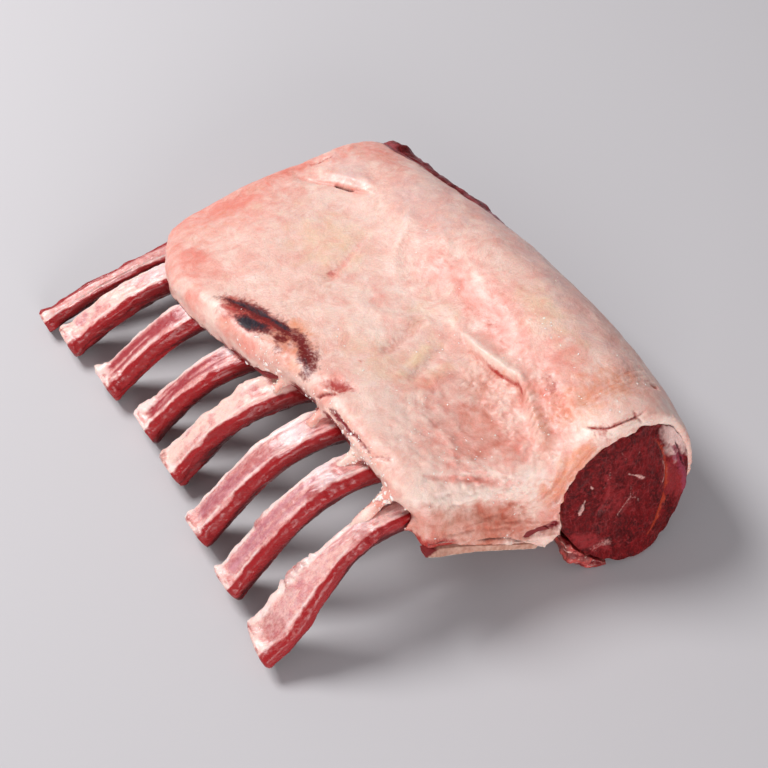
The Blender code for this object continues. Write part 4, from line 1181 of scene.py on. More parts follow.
@dataclass
class LoinEye:
    """The loin muscle: its cut face with marbling, and the silver skin down its back."""

    finest: float = 0.6
    plain: float = 2.0
    face_x: float = 86.0
    marks: tuple[Feature, ...] = (
        Stroke(((54, 40.5), (56.2, 38.4), (58.2, 36.9), (60.5, 34.8), (63, 33.6)), rise=0.3, mask="marbling", strength=0.9, spread=0.42, ragged=1.6, side=Side.NEAR),
        Stroke(((55.6, 37.6), (55.8, 33), (54.8, 28.6), (51.6, 25.4), (48.4, 22)), rise=-0.5, mask="marbling", strength=0.4, spread=0.36, ragged=1.5, side=Side.NEAR),
        Stroke(((54.8, 28.6), (57.6, 27), (59, 23.6)), mask="marbling", strength=0.4, spread=0.3, ragged=1.5, side=Side.NEAR),
        Stroke(((54.6, 42), (54, 47), (51.6, 51)), mask="marbling", strength=0.25, spread=0.3, ragged=1.5, side=Side.NEAR),
        Stroke(((58, 42), (60.5, 46), (61, 50)), mask="marbling", strength=0.28, spread=0.34, ragged=1.5, side=Side.NEAR),
        Stroke(((47.6, 45), (47, 40), (44, 35.6)), mask="marbling", strength=0.25, spread=0.4, ragged=1.5, side=Side.NEAR),
        Stroke(((44, 45), (47, 38), (45, 30), (40, 24)), rise=-0.4, mask="rose", strength=0.8, spread=0.9, ragged=1.0, side=Side.NEAR),
        Stroke(((66.4, 48.9), (70.8, 42.2), (73, 34.7), (72.6, 27), (70.6, 19.5), (65.6, 12), (59.8, 7.8)), rise=-0.6, mask="rust", strength=0.85, spread=0.9, ragged=1.1, side=Side.NEAR),
        Stroke(((71, 36), (72.6, 31.5), (71.4, 27.6), (69.8, 25.6)), mask="marbling", strength=0.6, spread=0.34, ragged=1.2, side=Side.NEAR),
        Patch((36.2, 29.6), (0.9, 2.6), -24, rise=0.5, mask="marbling", strength=1.0, soft=0.5, ragged=1.0, side=Side.NEAR),
        Patch((37.6, 32.4), (0.5, 1.4), -24, mask="marbling", strength=0.8, soft=0.6, ragged=1.0, side=Side.NEAR),
        Patch((40.4, 38.4), (0.6, 1.0), 20, rise=0.3, mask="marbling", strength=0.8, soft=0.6, ragged=0.8, side=Side.NEAR),
        Patch((41, 11.6), (3.6, 1.6), 20, rise=0.3, mask="marbling", strength=0.5, soft=0.8, ragged=1.0, side=Side.NEAR),
        Patch((56, 45), (11, 9), 0, mask="rose", strength=0.45, soft=0.9, side=Side.NEAR),
        Patch((50, 30), (9, 9), 0, mask="rose", strength=0.45, soft=0.9, side=Side.NEAR),
        Patch((76.5, 24), (5, 13), 14, mask="rose", strength=0.95, soft=0.7, side=Side.NEAR),
        Patch((38, 14), (8, 3.5), -30, mask="rose", strength=0.9, soft=0.7, side=Side.NEAR),
        Patch((81, 46), (8.4, 14.0), 8, rise=0.6, mask="skin", strength=1.0, soft=0.3, ragged=0.35, side=Side.NEAR),
        Stroke(((76.6, 39), (78.6, 34), (80.4, 27), (81.2, 20), (80.8, 13)), rise=0.6, left=1.6, right=1.6, mask="torn", strength=0.95, spread=2.0, ragged=0.7, side=Side.NEAR),
        Stroke(((78, 40), (80, 33), (81.6, 26)), rise=-0.8, left=0.5, right=0.5, mask="dark", strength=0.9, spread=0.5, ragged=0.6, side=Side.NEAR),
        Stroke(((75.4, 39), (77, 34.6), (77.8, 30)), rise=0.6, left=0.6, right=0.6, mask="silver", strength=0.9, spread=0.7, ragged=0.9, side=Side.NEAR),
        Patch((46, 50), (8, 4), 10, mask="dark", strength=0.5, soft=0.8, side=Side.NEAR),
        Patch((40, 28), (6, 8), 0, mask="dark", strength=0.5, soft=0.9, side=Side.NEAR),
        Patch((48, 15), (10, 6), 0, mask="dark", strength=0.5, soft=0.9, side=Side.NEAR),
    )

    def build(self) -> bpy.types.Object:
        """Make the muscle.

        Returns:
            The finished piece.
        """
        eye = Surface.of_node("loin_eye", 2, 40, 0.85)
        eye.refine(self._limit)
        coarse, fine = Noise(21), Noise(22)
        points, normals = eye.points, eye.normals()
        face = ease(normals[:, 0], 0.5, 0.8) * ease(points[:, 0], 80, 86)
        side = 1 - face
        x, y, z = points.T
        angle = np.degrees(np.arctan2(z - 24, y - 56))
        strip = bell(angle - 24, 22) * (1 - ease(x, -45, -15)) * ease(y, 60, 66)
        lumps = 0.7 * coarse(points, 14, 2) + 0.25 * fine(points, 2.5, 3) + 3.4 * strip * (1 + 0.5 * fine(points, 5, 3))
        points += normals * (lumps * ease(z, 0.3, 3))[:, None]
        points[:, 2] = np.maximum(points[:, 2], 0)
        film = ease(fine(points, (30, 8, 8), 3), -0.7, 0.5) * (0.75 + 0.25 * coarse(points, (4, 1.2, 1.2), 2))
        eye.paint("silver", side * ease(normals[:, 1] - np.abs(normals[:, 0]), -0.2, 0.3) * film)
        eye.paint("rose", side * ease(coarse(points + 100, (10, 4, 4), 3), -0.3, 0.6))
        shade = face * 0.5 * ease(coarse(points, 5, 3), 0.2, 0.9)
        eye.work(self.marks, fine, face)
        eye.paint("dark", shade * (1 - eye.masks["skin"]))
        return eye.piece("loin_muscle", LEAN.material(), "lean", ["loin_eye"])

    def _limit(self, middle: Array, facing: Array) -> Array:
        """Fine on the cut face, plain elsewhere."""
        return np.where((middle[:, 0] > self.face_x) & (facing[:, 0] > 0.3), self.finest, self.plain)


# ---- The layers under the cap ---------------------------------------------------------------------------


@dataclass
class UnderLayers:
    """The rib meat, the trimmings at the chine, and the sawn sliver of the next bone."""

    def build(self) -> list[bpy.types.Object]:
        """Make the three layers.

        Returns:
            The finished pieces.
        """
        return [self._rib_meat(), self._trimmings(), self._sliver()]

    def _rib_meat(self) -> bpy.types.Object:
        """The lean over and between the bones."""
        meat = Surface.of_node("rib_meat", 0, 40, 0.5)
        meat.refine(lambda middle, facing: np.full(len(middle), 1.9))
        meat.relax(4)
        coarse, fine = Noise(31), Noise(32)
        tuck(meat.points)
        points, normals = meat.points, meat.normals()
        lift = 0.45 - 1.9 * ease(points[:, 0], 70, 79)
        points += normals * (lift + 0.5 * coarse(points, 7, 3) + 0.2 * fine(points, 2, 2))[:, None]
        under = ease(-normals[:, 2], 0.1, 0.6)
        meat.paint("film", under * 0.8 * ease(coarse(points, 9, 3), -0.5, 0.4))
        meat.paint("pale", under * 0.7 * ease(fine(points, (4, 14, 6), 3), 0.2, 0.7))
        meat.paint("lean", (1 - under) * 0.9)
        return meat.piece("rib_meat_layer", RIB_LEAN.material(), "rib_lean", ["rib_meat"])

    def _trimmings(self) -> bpy.types.Object:
        """Loose edges of meat and fat along the chine."""
        trim = Surface.of_node("chine_trim", 1, 40, 0.3)
        trim.refine(lambda middle, facing: np.where(middle[:, 0] > 80, 0.7, 2.0))
        coarse, fine = Noise(41), Noise(42)
        points, normals = trim.points, trim.normals()
        lift = ease(points[:, 2], 0.2, 2)
        points += normals * ((1.4 * coarse(points, (9, 6, 3.0), 3) + 0.4 * fine(points, 1.6, 2)) * lift)[:, None]
        points[:, 2] = np.maximum(points[:, 2], 0)
        trim.paint("lean", ease(coarse(points, (10, 5, 2.5), 3), -0.3, 0.3))
        trim.paint("rose", ease(fine(points, (9, 4, 1.8), 2), -0.1, 0.5) * 0.9)
        trim.paint("pale", ease(fine(points + 60, (9, 3, 1.4), 2), 0.45, 0.8) * 0.7)
        return trim.piece("chine_trimmings", RIB_LEAN.material(), "trimmings", ["chine_trim"])

    def _sliver(self) -> bpy.types.Object:
        """The thin slice of bone along the bottom of the cut."""
        sliver = Surface.of_node("end_bone_sliver", 1, 40, 0.9)
        sliver.refine(lambda middle, facing: np.full(len(middle), 0.7))
        fine = Noise(51)
        normals = sliver.normals()
        sliver.points += normals * (0.12 * fine(sliver.points, 2.5, 3) - 0.2)[:, None] + (-0.3, 0.0, 0.9)
        y, z = sliver.points[:, 1], sliver.points[:, 2]
        sliver.paint("pale", ease(-normals[:, 2], -0.1, 0.5))
        sliver.paint("lean", (1 - ease(y, -19, -13)) * ease(z, 34.5, 36))
        return sliver.piece("sawn_bone_sliver", SAWN.material(), "sawn_bone", ["end_bone_sliver"])


# ---- Ribs -------------------------------------------------------------------------------------------------


@dataclass
class RibBone:
    """One bone, swept along its arch: flat above, with a wet channel between two pale edges, the one towards the light
    partly a painted highlight.
    """

    number: int
    width: float
    thickness: float
    channel: float = 0.8
    mauve: float = 0.3
    fatty: float = 0.0
    lumpy: float = 0.6
    tip_width: float = 0.0
    root: float = 0.0
    flap: float = 0.0
    scraps: tuple[Patch, ...] = ()

    STATIONS = 190
    SIDES = 72

    @property
    def node(self) -> str:
        """The solid that the bone stands for."""
        return f"rib_{self.number}"

    def path(self) -> Array:
        """The middle line of the solid, from tip to head, as points evenly spaced along it."""
        corners = np.array([v.co for v in bpy.data.objects[self.node].data.vertices]) / MM
        corners = np.unique(corners.round(2), axis=0)
        low, high = corners[:, 1].min() + 2.2, corners[:, 1].max() - 1.2
        y = np.linspace(low, high, 400)
        middle = (corners[:, 1] - (low + high) / 2) / (high - low)
        line = np.stack([np.polyval(np.polyfit(middle, corners[:, a], 6), (y - (low + high) / 2) / (high - low)) for a in (0, 2)])
        points = np.stack([line[0], y, line[1]], axis=1)
        length = np.r_[0, np.cumsum(np.linalg.norm(np.diff(points, axis=0), axis=1))]
        even = np.linspace(0, length[-1], self.STATIONS)
        return np.stack([np.interp(even, length, points[:, a]) for a in range(3)], axis=1)

    def build(self, sweep: "RibSweep", finish: bpy.types.Material) -> bpy.types.Object:
        """Sweep, carve and paint the bone.

        Args:
            sweep: The geometry nodes that sweep it.
            finish: Its material.

        Returns:
            The finished piece.
        """
        path = self.path()
        mesh = sweep.mesh(self.node, path, self.width, self.thickness, self.number, finish)
        along = np.empty(len(mesh.vertices), np.float32)
        mesh.attributes["along"].data.foreach_get("value", along)
        bone = Surface.of_mesh(mesh)
        bpy.data.meshes.remove(mesh)
        station = np.arange(len(path)) / (len(path) - 1)
        tangents = np.gradient(path, axis=0)
        tangents /= np.linalg.norm(tangents, axis=1)[:, None]
        sides = np.cross(tangents, (0, 0, 1))
        sides /= np.linalg.norm(sides, axis=1)[:, None]
        ups = np.cross(sides, tangents)
        read = lambda rows: np.stack([np.interp(along, station, rows[:, a]) for a in range(3)], axis=1)
        centre, side, up = read(path), read(sides), read(ups)
        offset = bone.points - centre
        across = (offset * side).sum(1) / (self.width / 2)
        height = (offset * up).sum(1) / (self.thickness / 2)
        length = np.linalg.norm(np.diff(path, axis=0), axis=1).sum()
        run = along * length
        self._carve(bone, run, across, height, side, up, length)
        self._paint(bone, run, across, height, length)
        return bone.piece(f"{self.node}_bone", finish, "rib_bone", [self.node])

    def _carve(self, bone: Surface, run: Array, across: Array, height: Array, side: Array, up: Array, length: float) -> None:
        """Shape the channel, the ridges along the sides, the ragged edges and the tip."""
        coarse, fine = Noise(100 + self.number), Noise(200 + self.number)
        local = np.stack([run, across * 5, height * 5], axis=1)
        top = ease(height, 0.2, 0.8)
        edge = bell(np.abs(across) - 0.85, 0.22) * ease(height, 0.0, 0.6)
        channel = -0.7 * top * bell(across - 0.05, 0.45) * self.channel
        long_lumps = self.lumpy * coarse(local, (12, 3.0, 3.0), 3)
        ridges = 0.35 * fine(local, (28, 1.5, 1.5), 2)
        ragged = edge * (0.45 + 0.7 * fine(local, (6, 4, 4), 3))
        torn = (1 - ease(run, 1, 8)) * (0.4 + 0.8 * fine(local + 40, (4.0, 3.0, 3.0), 3))
        lift = channel + long_lumps + ridges + ragged + torn + 0.12 * fine(local, 1.0, 2)
        plan = np.stack([run, across * self.width / 2], axis=1)
        for scrap in self.scraps:
            raised, painted = scrap.values(plan, fine(local, 2.0, 2))
            lift = lift + raised * ease(height, -0.2, 0.4)
            if scrap.mask:
                bone.paint(scrap.mask, painted * ease(height, -0.2, 0.4))
        bone.points += bone.normals() * (lift * ease(run, -0.5, 1.5))[:, None]
        wing = self.flap * ease(run, 0.30 * length, 0.72 * length) * ease(-across, 0.0, 0.6)
        bone.points -= side * wing[:, None]
        if self.tip_width:
            share = 1 - ease(run, 0.12 * length, 0.38 * length)
            bone.points += side * (across * share * (self.tip_width - self.width) / 2)[:, None]
        swell = 0.5 * (1 - ease(run, 0, 6))
        bone.points += side * (across * swell)[:, None] + up * (height * swell * 0.5)[:, None]
        bone.points[:, 2] = np.maximum(bone.points[:, 2], 0.25)

    def _paint(self, bone: Surface, run: Array, across: Array, height: Array, length: float) -> None:
        """Lay the membrane in the channel, cream on its edges and red down the sides. The cream edge towards the light
        is partly a painted highlight, the red side away from it is partly painted shade, and the lower side and the
        underside get painted shade.
        """
        coarse, fine = Noise(300 + self.number), Noise(400 + self.number)
        local = np.stack([run, across * 5, height * 5], axis=1)
        streaks = fine(local, (22, 1.6, 1.6), 3)
        top = ease(height, 0.2, 0.7)
        end = self.root - 5 if self.root else length * 0.8
        tongue = np.clip(1.5 * bell(across + 0.06, 0.42), 0, 1) * ease(height, 0.1, 0.5) * ease(run, 4, 9) * (1 - ease(run, end - 2, end + 2))
        bone.paint("membrane", tongue * self.channel * ease(streaks, -1.0, -0.1) * (1 - 0.6 * self.fatty))
        bone.paint("mauve", tongue * self.mauve * ease(-streaks, -0.8, 0.2))
        bone.paint("membrane", 0.6 * bell(np.abs(across + 0.08) - 0.5, 0.08) * top * self.mauve * ease(run, 6, 12) * ease(streaks, -0.3, 0.3))
        shreds = ease(coarse(local, (9, 3, 3), 2), -0.6, 0.2)
        # partly painted highlight: the edge towards the light is painted cream, broken by shreds of fat, with a fainter
        # line along the top
        pale = ease(height, -0.5, 0.3) * ease(-across, 0.45, 0.75) + 0.7 * ease(height, 0.0, 0.5) * bell(across - 0.50, 0.10) * shreds
        bone.paint("pale", np.clip(pale * (0.6 + 0.4 * shreds), 0, 1))
        bone.paint("cream", self.fatty * ease(height, -0.2, 0.4) * ease(coarse(local + 50, (6, 3.5, 3.5), 3), -0.5, 0.2) * (1 - ease(across, 0.4, 0.8)))
        # partly painted shade: the side away from the light is painted red over the remains of meat
        ridge = 0.64 + 0.14 * coarse(local + 70, (6, 3, 3), 3)
        right = ease(across - ridge, -0.08, 0.08) + ease(-across, 0.85, 1.0) * (1 - ease(height, -0.4, 0.2))
        bone.paint("red", np.clip(right, 0, 1) * (1.0 + 0.25 * streaks))
        # painted highlight: pale specks down the red side
        bone.paint("pale", 0.3 * np.clip(right, 0, 1) * ease(streaks, 0.6, 0.9))
        # painted shade: dark down the lower part of the side away from the light, and under the bone
        bone.paint("dark", 0.9 * ease(across, 0.6, 0.9) * (1 - ease(height, -0.4, 0.5)) * ease(-streaks, -0.5, 0.4))
        bone.paint("dark", ease(-height, 0.3, 0.8) * 0.9)
        bone.paint("red", 0.6 * (bell(run - 1.0, 1.5)) * ease(fine(local, 2.5, 2), 0.0, 0.4))
        bone.paint("pale", 0.9 * bell(run - 2.5, 3.0) * ease(-fine(local, 2.5, 2), -0.3, 0.2) * ease(height, -0.5, 0.2) * (1 - right))
        if self.flap:
            bone.paint("red", ease(-across, 0.25, 0.6))
            bone.paint("dark", 0.5 * ease(-across, 0.5, 0.9) * ease(streaks, -0.3, 0.4))
        tip = 1 - ease(run, 0.0, 0.6)
        bone.paint("marrow", tip * (np.hypot(across, height) < 0.8))
        if self.root:
            white = bell(run - self.root, 6.5) * top * (1 - ease(across, 0.3, 0.7)) * ease(coarse(local + 20, (5, 3, 3), 2), -0.7, 0.1)
            bone.paint("gristle", white)


class RibSweep:
    """Geometry nodes that sweep a bone's outline along its middle line."""

    def __init__(self) -> None:
        """Build the tree with its named inputs."""
        tree = bpy.data.node_groups.new("rib_sweep", "GeometryNodeTree")
        face = tree.interface
        face.new_socket("Geometry", in_out="INPUT", socket_type="NodeSocketGeometry")
        for name, default in (("Width", 0.011), ("Thickness", 0.009), ("Unevenness", 0.0004)):
            face.new_socket(name, in_out="INPUT", socket_type="NodeSocketFloat").default_value = default
        for name, default in (("Stations", 190), ("Sides", 72), ("Seed", 1)):
            face.new_socket(name, in_out="INPUT", socket_type="NodeSocketInt").default_value = default
        face.new_socket("Finish", in_out="INPUT", socket_type="NodeSocketMaterial")
        face.new_socket("Geometry", in_out="OUTPUT", socket_type="NodeSocketGeometry")
        given = add_node(tree, "NodeGroupInput").outputs
        even = add_node(
            tree, "GeometryNodeResampleCurve", {"Curve": given["Geometry"], "Count": given["Stations"]}, mode="COUNT"
        )
        level = add_node(tree, "GeometryNodeSetCurveNormal", {"Curve": even.outputs[0]}, mode="Z_UP")
        share = add_node(tree, "GeometryNodeSplineParameter").outputs["Factor"]
        marked = add_node(
            tree,
            "GeometryNodeStoreNamedAttribute",
            {"Geometry": level.outputs[0], "Name": "along", "Value": share},
            data_type="FLOAT",
            domain="POINT",
        )
        ring = add_node(tree, "GeometryNodeCurvePrimitiveCircle", {"Resolution": given["Sides"], "Radius": 1.0})
        place = add_node(tree, "GeometryNodeInputPosition").outputs[0]
        parts = add_node(tree, "ShaderNodeSeparateXYZ", {0: place}).outputs
        squared = []
        for axis, size in (("X", "Width"), ("Y", "Thickness")):
            sign = add_node(tree, "ShaderNodeMath", {0: parts[axis]}, operation="SIGN").outputs[0]
            plus = add_node(tree, "ShaderNodeMath", {0: parts[axis]}, operation="ABSOLUTE").outputs[0]
            bent = add_node(tree, "ShaderNodeMath", {0: plus, 1: 0.80}, operation="POWER").outputs[0]
            half = add_node(tree, "ShaderNodeMath", {0: given[size], 1: 0.5}, operation="MULTIPLY").outputs[0]
            scaled = add_node(tree, "ShaderNodeMath", {0: bent, 1: half}, operation="MULTIPLY").outputs[0]
            squared.append(add_node(tree, "ShaderNodeMath", {0: scaled, 1: sign}, operation="MULTIPLY").outputs[0])
        outline = add_node(
            tree,
            "GeometryNodeSetPosition",
            {
                "Geometry": ring.outputs["Curve"],
                "Position": add_node(tree, "ShaderNodeCombineXYZ", {0: squared[0], 1: squared[1]}).outputs[0],
            },
        )
        swept = add_node(
            tree,
            "GeometryNodeCurveToMesh",
            {"Curve": marked.outputs[0], "Profile Curve": outline.outputs[0], "Fill Caps": True},
        )
        uneven = add_node(
            tree, "ShaderNodeTexNoise", {"Scale": 90.0, "Detail": 3.0, "W": given["Seed"]}, noise_dimensions="4D"
        ).outputs["Fac"]
        centred = add_node(tree, "ShaderNodeMath", {0: uneven, 1: 0.5}, operation="SUBTRACT").outputs[0]
        amount = add_node(tree, "ShaderNodeMath", {0: centred, 1: given["Unevenness"]}, operation="MULTIPLY").outputs[0]
        outward = add_node(tree, "GeometryNodeInputNormal").outputs[0]
        shift = add_node(tree, "ShaderNodeVectorMath", {0: outward, "Scale": amount}, operation="SCALE").outputs[0]
        moved = add_node(tree, "GeometryNodeSetPosition", {"Geometry": swept.outputs[0], "Offset": shift})
        whole = add_node(tree, "GeometryNodeRealizeInstances", {0: moved.outputs[0]})
        dressed = add_node(
            tree, "GeometryNodeSetMaterial", {"Geometry": whole.outputs[0], "Material": given["Finish"]}
        )
        add_node(tree, "NodeGroupOutput", {0: dressed.outputs[0]})
        self.tree = tree

    def mesh(
        self, name: str, path: Array, width: float, thickness: float, seed: int, finish: bpy.types.Material
    ) -> bpy.types.Mesh:
        """Sweep one bone.

        Args:
            name: The bone's name.
            path: Its middle line, in millimetres.
            width: Its width across, in millimetres.
            thickness: Its thickness, in millimetres.
            seed: Which unevenness it gets.
            finish: Its material.

        Returns:
            The closed mesh, with the share of the way along it in the attribute along.
        """
        curve = bpy.data.curves.new(name + "_line", "CURVE")
        curve.dimensions = "3D"
        spline = curve.splines.new("POLY")
        spline.points.add(len(path) - 1)
        spline.points.foreach_set("co", np.column_stack([path * MM, np.ones(len(path))]).ravel())
        holder = bpy.data.objects.new(name + "_line", curve)
        bpy.context.scene.collection.objects.link(holder)
        nodes = holder.modifiers.new("sweep", "NODES")
        nodes.node_group = self.tree
        values = {
            "Width": width * MM,
            "Thickness": thickness * MM,
            "Stations": RibBone.STATIONS,
            "Sides": RibBone.SIDES,
            "Seed": seed,
            "Finish": finish,
        }
        for item in self.tree.interface.items_tree:
            if item.in_out == "INPUT" and item.name in values:
                nodes[item.identifier] = values[item.name]
        mesh = bpy.data.meshes.new_from_object(holder.evaluated_get(bpy.context.evaluated_depsgraph_get()))
        bpy.data.objects.remove(holder)
        bpy.data.curves.remove(curve)
        return weld(mesh)


class Scatter:
    """Geometry nodes that strew crumbs over a surface, as thickly as one of its masks says; the crumbs partly stand in
    for wet glints.
    """

    def __init__(self) -> None:
        """Build the tree with its named inputs."""
        tree = bpy.data.node_groups.new("crumb_and_glint_scatter", "GeometryNodeTree")
        face = tree.interface
        face.new_socket("Geometry", in_out="INPUT", socket_type="NodeSocketGeometry")
        face.new_socket("Mask", in_out="INPUT", socket_type="NodeSocketString")
        for name, default in (("Density", 1e5), ("Size", 0.0003)):
            face.new_socket(name, in_out="INPUT", socket_type="NodeSocketFloat").default_value = default
        face.new_socket("Seed", in_out="INPUT", socket_type="NodeSocketInt")
        face.new_socket("Finish", in_out="INPUT", socket_type="NodeSocketMaterial")
        face.new_socket("Geometry", in_out="OUTPUT", socket_type="NodeSocketGeometry")
        given = add_node(tree, "NodeGroupInput").outputs
        mask = add_node(tree, "GeometryNodeInputNamedAttribute", {"Name": given["Mask"]}, data_type="FLOAT").outputs[0]
        density = add_node(tree, "ShaderNodeMath", {0: mask, 1: given["Density"]}, operation="MULTIPLY").outputs[0]
        spots = add_node(
            tree,
            "GeometryNodeDistributePointsOnFaces",
            {"Mesh": given["Geometry"], "Density": density, "Seed": given["Seed"]},
        )
        lump = add_node(tree, "GeometryNodeMeshIcoSphere", {"Radius": 1.0, "Subdivisions": 2})
        stretch = add_node(
            tree,
            "FunctionNodeRandomValue",
            {"Min": (0.4, 0.4, 0.25), "Max": (1.6, 1.2, 0.6), "Seed": given["Seed"]},
            data_type="FLOAT_VECTOR",
        ).outputs["Value"]
        size = add_node(
            tree, "ShaderNodeVectorMath", {0: stretch, "Scale": given["Size"]}, operation="SCALE"
        ).outputs[0]
        spin = add_node(
            tree,
            "FunctionNodeRandomValue",
            {"Min": (0.0, 0.0, 0.0), "Max": (0.6, 0.6, 6.28), "Seed": given["Seed"]},
            data_type="FLOAT_VECTOR",
        ).outputs["Value"]
        turned = add_node(
            tree, "FunctionNodeRotateRotation", {0: spots.outputs["Rotation"], 1: spin}, rotation_space="LOCAL"
        ).outputs[0]
        strewn = add_node(
            tree,
            "GeometryNodeInstanceOnPoints",
            {"Points": spots.outputs["Points"], "Instance": lump.outputs["Mesh"], "Rotation": turned, "Scale": size},
        )
        real = add_node(tree, "GeometryNodeRealizeInstances", {0: strewn.outputs[0]})
        bumps = add_node(tree, "ShaderNodeTexNoise", {"Scale": 1400.0, "Detail": 2.0}).outputs["Color"]
        centred = add_node(
            tree, "ShaderNodeVectorMath", {0: bumps, 1: (0.5, 0.5, 0.5)}, operation="SUBTRACT"
        ).outputs[0]
        shift = add_node(
            tree, "ShaderNodeVectorMath", {0: centred, "Scale": given["Size"]}, operation="SCALE"
        ).outputs[0]
        moved = add_node(tree, "GeometryNodeSetPosition", {"Geometry": real.outputs[0], "Offset": shift})
        whole = add_node(tree, "GeometryNodeRealizeInstances", {0: moved.outputs[0]})
        dressed = add_node(
            tree, "GeometryNodeSetMaterial", {"Geometry": whole.outputs[0], "Material": given["Finish"]}
        )
        add_node(tree, "NodeGroupOutput", {0: dressed.outputs[0]})
        self.tree = tree

    def piece(
        self,
        name: str,
        ground: bpy.types.Object,
        mask: str,
        size: float,
        density: float,
        seed: int,
        finish: bpy.types.Material,
        slot: str,
    ) -> bpy.types.Object:
        """Strew one kind of white lump of fat, which partly stands in for wet glints.

        Args:
            name: The piece's name.
            ground: The piece that the crumbs lie on.
            mask: Its mask for how thickly they lie.
            size: Their size, in millimetres.
            density: How many lie on a square metre where the mask is 1.
            seed: Which arrangement it gets.
            finish: Their material.
            slot: The record's material slot; it is not used.

        Returns:
            The crumbs, which partly stand in for glints, as one finished piece.
        """
        holder = bpy.data.objects.new(name + "_ground", ground.data.copy())
        bpy.context.scene.collection.objects.link(holder)
        nodes = holder.modifiers.new("scatter", "NODES")
        nodes.node_group = self.tree
        values = {"Mask": mask, "Density": density, "Size": size * MM, "Seed": seed, "Finish": finish}
        for item in self.tree.interface.items_tree:
            if item.in_out == "INPUT" and item.name in values:
                nodes[item.identifier] = values[item.name]
        mesh = bpy.data.meshes.new_from_object(holder.evaluated_get(bpy.context.evaluated_depsgraph_get()))
        bpy.data.objects.remove(holder)
        mesh.name = name
        mesh.shade_smooth()
        crumbs = bpy.data.objects.new(name, mesh)
        bpy.context.scene.collection.objects.link(crumbs)
        return settle(crumbs, [])


def weld(mesh: bpy.types.Mesh) -> bpy.types.Mesh:
    """Join the caps of a swept mesh to its sides and turn its faces out."""
    shape = bmesh.new()
    shape.from_mesh(mesh)
    bmesh.ops.remove_doubles(shape, verts=shape.verts, dist=0.001 * MM)
    bmesh.ops.triangulate(shape, faces=[f for f in shape.faces if len(f.verts) > 4])
    bmesh.ops.recalc_face_normals(shape, faces=shape.faces)
    shape.to_mesh(mesh)
    shape.free()
    return mesh


RIBS = (
    RibBone(1, 7.4, 8.0, channel=0.0, mauve=0.2, flap=5.5, fatty=0.2),
    RibBone(2, 12.3, 9.8, channel=0.3, mauve=0.4, fatty=0.7, lumpy=1.1, root=48),
    RibBone(
        3, 13.3, 10.4, channel=1.0, mauve=0.2, root=50,
        scraps=(Patch((3, -4), (4, 2), 0, rise=1.2, mask="pale"), Patch((4, 4.5), (4, 2), 0, rise=1.2, mask="red", strength=0.55, soft=0.9, ragged=0.9)),
    ),
    RibBone(
        4, 13.0, 10.4, channel=1.0, mauve=0.3, root=50,
        scraps=(Patch((8, -3.5), (5, 2.2), 10, rise=1.6, mask="pale"), Patch((4, 4), (4, 2), 0, rise=1.0, mask="pale")),
    ),
    RibBone(
        5, 13.0, 10.2, channel=0.1, mauve=0.1, fatty=0.8, lumpy=1.2,
        scraps=(Patch((48, -5), (6, 2.5), 0, rise=1.8, mask="pale"), Patch((2, -4), (2, 2), 0, rise=1.0, mask="red", strength=0.55, soft=0.9, ragged=0.9)),
    ),
    RibBone(6, 13.7, 10.6, channel=0.5, mauve=0.9, root=54, scraps=(Patch((3, 4), (3, 2), 0, rise=0.8, mask="red", strength=0.55, soft=0.9, ragged=0.9),)),
    RibBone(
        7, 13.3, 10.4, channel=0.4, mauve=0.9, fatty=0.2, root=58,
        scraps=(Patch((27, -5), (4, 1.6), 0, rise=1.0, mask="red", strength=0.55, soft=0.9, ragged=0.9), Patch((52, 3), (8, 3), 0, rise=1.0, mask="red", strength=0.55, soft=0.9, ragged=0.9)),
    ),
    RibBone(
        8, 11.3, 8.7, channel=0.2, mauve=0.5, fatty=0.4, lumpy=0.8, tip_width=18.0, root=62,
        scraps=(
            Patch((31, -5), (6, 2), -8, rise=2.4, mask="red", strength=0.55, soft=0.9, ragged=0.9),
            Patch((31, -4), (5, 1.2), -8, mask="pale"),
            Patch((10, 0), (7, 4), 0, rise=-0.7, mask="red", strength=0.4),
            Patch((54, 4), (5, 2.5), 0, rise=1.4, mask="red", strength=0.55, soft=0.9, ragged=0.9),
        ),
    ),
)


# ---- Studio -------------------------------------------------------------------------------------------------


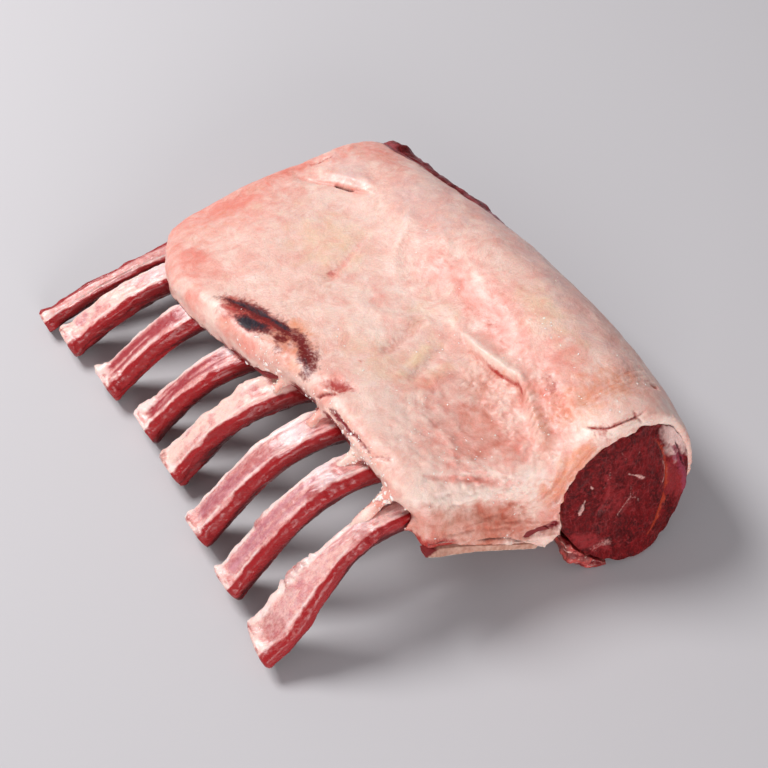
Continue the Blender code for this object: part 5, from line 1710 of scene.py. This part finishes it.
@dataclass
class Studio:
    """A pale floor, a large soft light from behind on the left, and the camera."""

    azimuth: float = 60.0
    elevation: float = 50.0
    distance: float = 730.0
    target: tuple[float, float, float] = (-11.26, 16.35, 0.0)
    lens: float = 85.0

    def build(self) -> None:
        """Put up the floor, the lights and the camera."""
        scene = bpy.context.scene
        scene.view_settings.view_transform = "Standard"
        self._floor()
        self._lights(scene)
        turn, tilt = np.radians(self.azimuth), np.radians(self.elevation)
        back = Vector((np.sin(turn) * np.cos(tilt), -np.cos(turn) * np.cos(tilt), np.sin(tilt)))
        camera = bpy.data.objects.new("camera", bpy.data.cameras.new("camera"))
        camera.data.lens = self.lens
        camera.location = (Vector(self.target) + back * self.distance) * MM
        camera.rotation_euler = back.to_track_quat("Z", "Y").to_euler()
        scene.collection.objects.link(camera)
        scene.camera = camera

    def _floor(self) -> None:
        """A wide plain floor, just under the rack."""
        shape = bmesh.new()
        bmesh.ops.create_grid(shape, x_segments=8, y_segments=8, size=8.0)
        mesh = bpy.data.meshes.new("floor")
        shape.to_mesh(mesh)
        shape.free()
        mesh.transform(Matrix.Translation((0, 0, -0.05 * MM)))
        floor = bpy.data.objects.new("floor", mesh)
        bpy.context.scene.collection.objects.link(floor)
        finish = bpy.data.materials.new("pale_floor")
        finish.use_nodes = True
        shader = finish.node_tree.nodes["Principled BSDF"]
        shader.inputs["Base Color"].default_value = linear("#C6C3C6")
        shader.inputs["Roughness"].default_value = 0.7
        mesh.materials.append(finish)

    def _lights(self, scene: bpy.types.Scene) -> None:
        """A large key light, a low fill and an even surround."""
        world = bpy.data.worlds.new("surround")
        world.use_nodes = True
        world.node_tree.nodes["Background"].inputs["Color"].default_value = linear("#F0EEF2")
        world.node_tree.nodes["Background"].inputs["Strength"].default_value = 0.30
        scene.world = world
        self._lamp("key", Vector((-0.567, -0.302, 0.766)), 0.55, 15.5)
        self._lamp("fill", Vector((0.92, -0.33, 0.22)), 0.8, 11.5)

    @staticmethod
    def _lamp(name: str, direction: Vector, size: float, watts: float) -> None:
        """A round soft light that faces the rack."""
        light = bpy.data.lights.new(name, "AREA")
        light.shape = "DISK"
        light.size = size
        light.energy = watts
        lamp = bpy.data.objects.new(name, light)
        lamp.location = direction.normalized() * 1.3
        lamp.rotation_euler = direction.to_track_quat("Z", "Y").to_euler()
        bpy.context.scene.collection.objects.link(lamp)


def main() -> None:
    """Build the rack and its studio in order."""
    logging.basicConfig(level=logging.INFO, format="%(name)s: %(message)s")
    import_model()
    Studio().build()
    sweep, finish = RibSweep(), RIB.material()
    FatCap().build(sweep, Scatter())
    LoinEye().build()
    UnderLayers().build()
    for rib in RIBS:
        rib.build(sweep, finish)


if __name__ == "__main__":
    main()
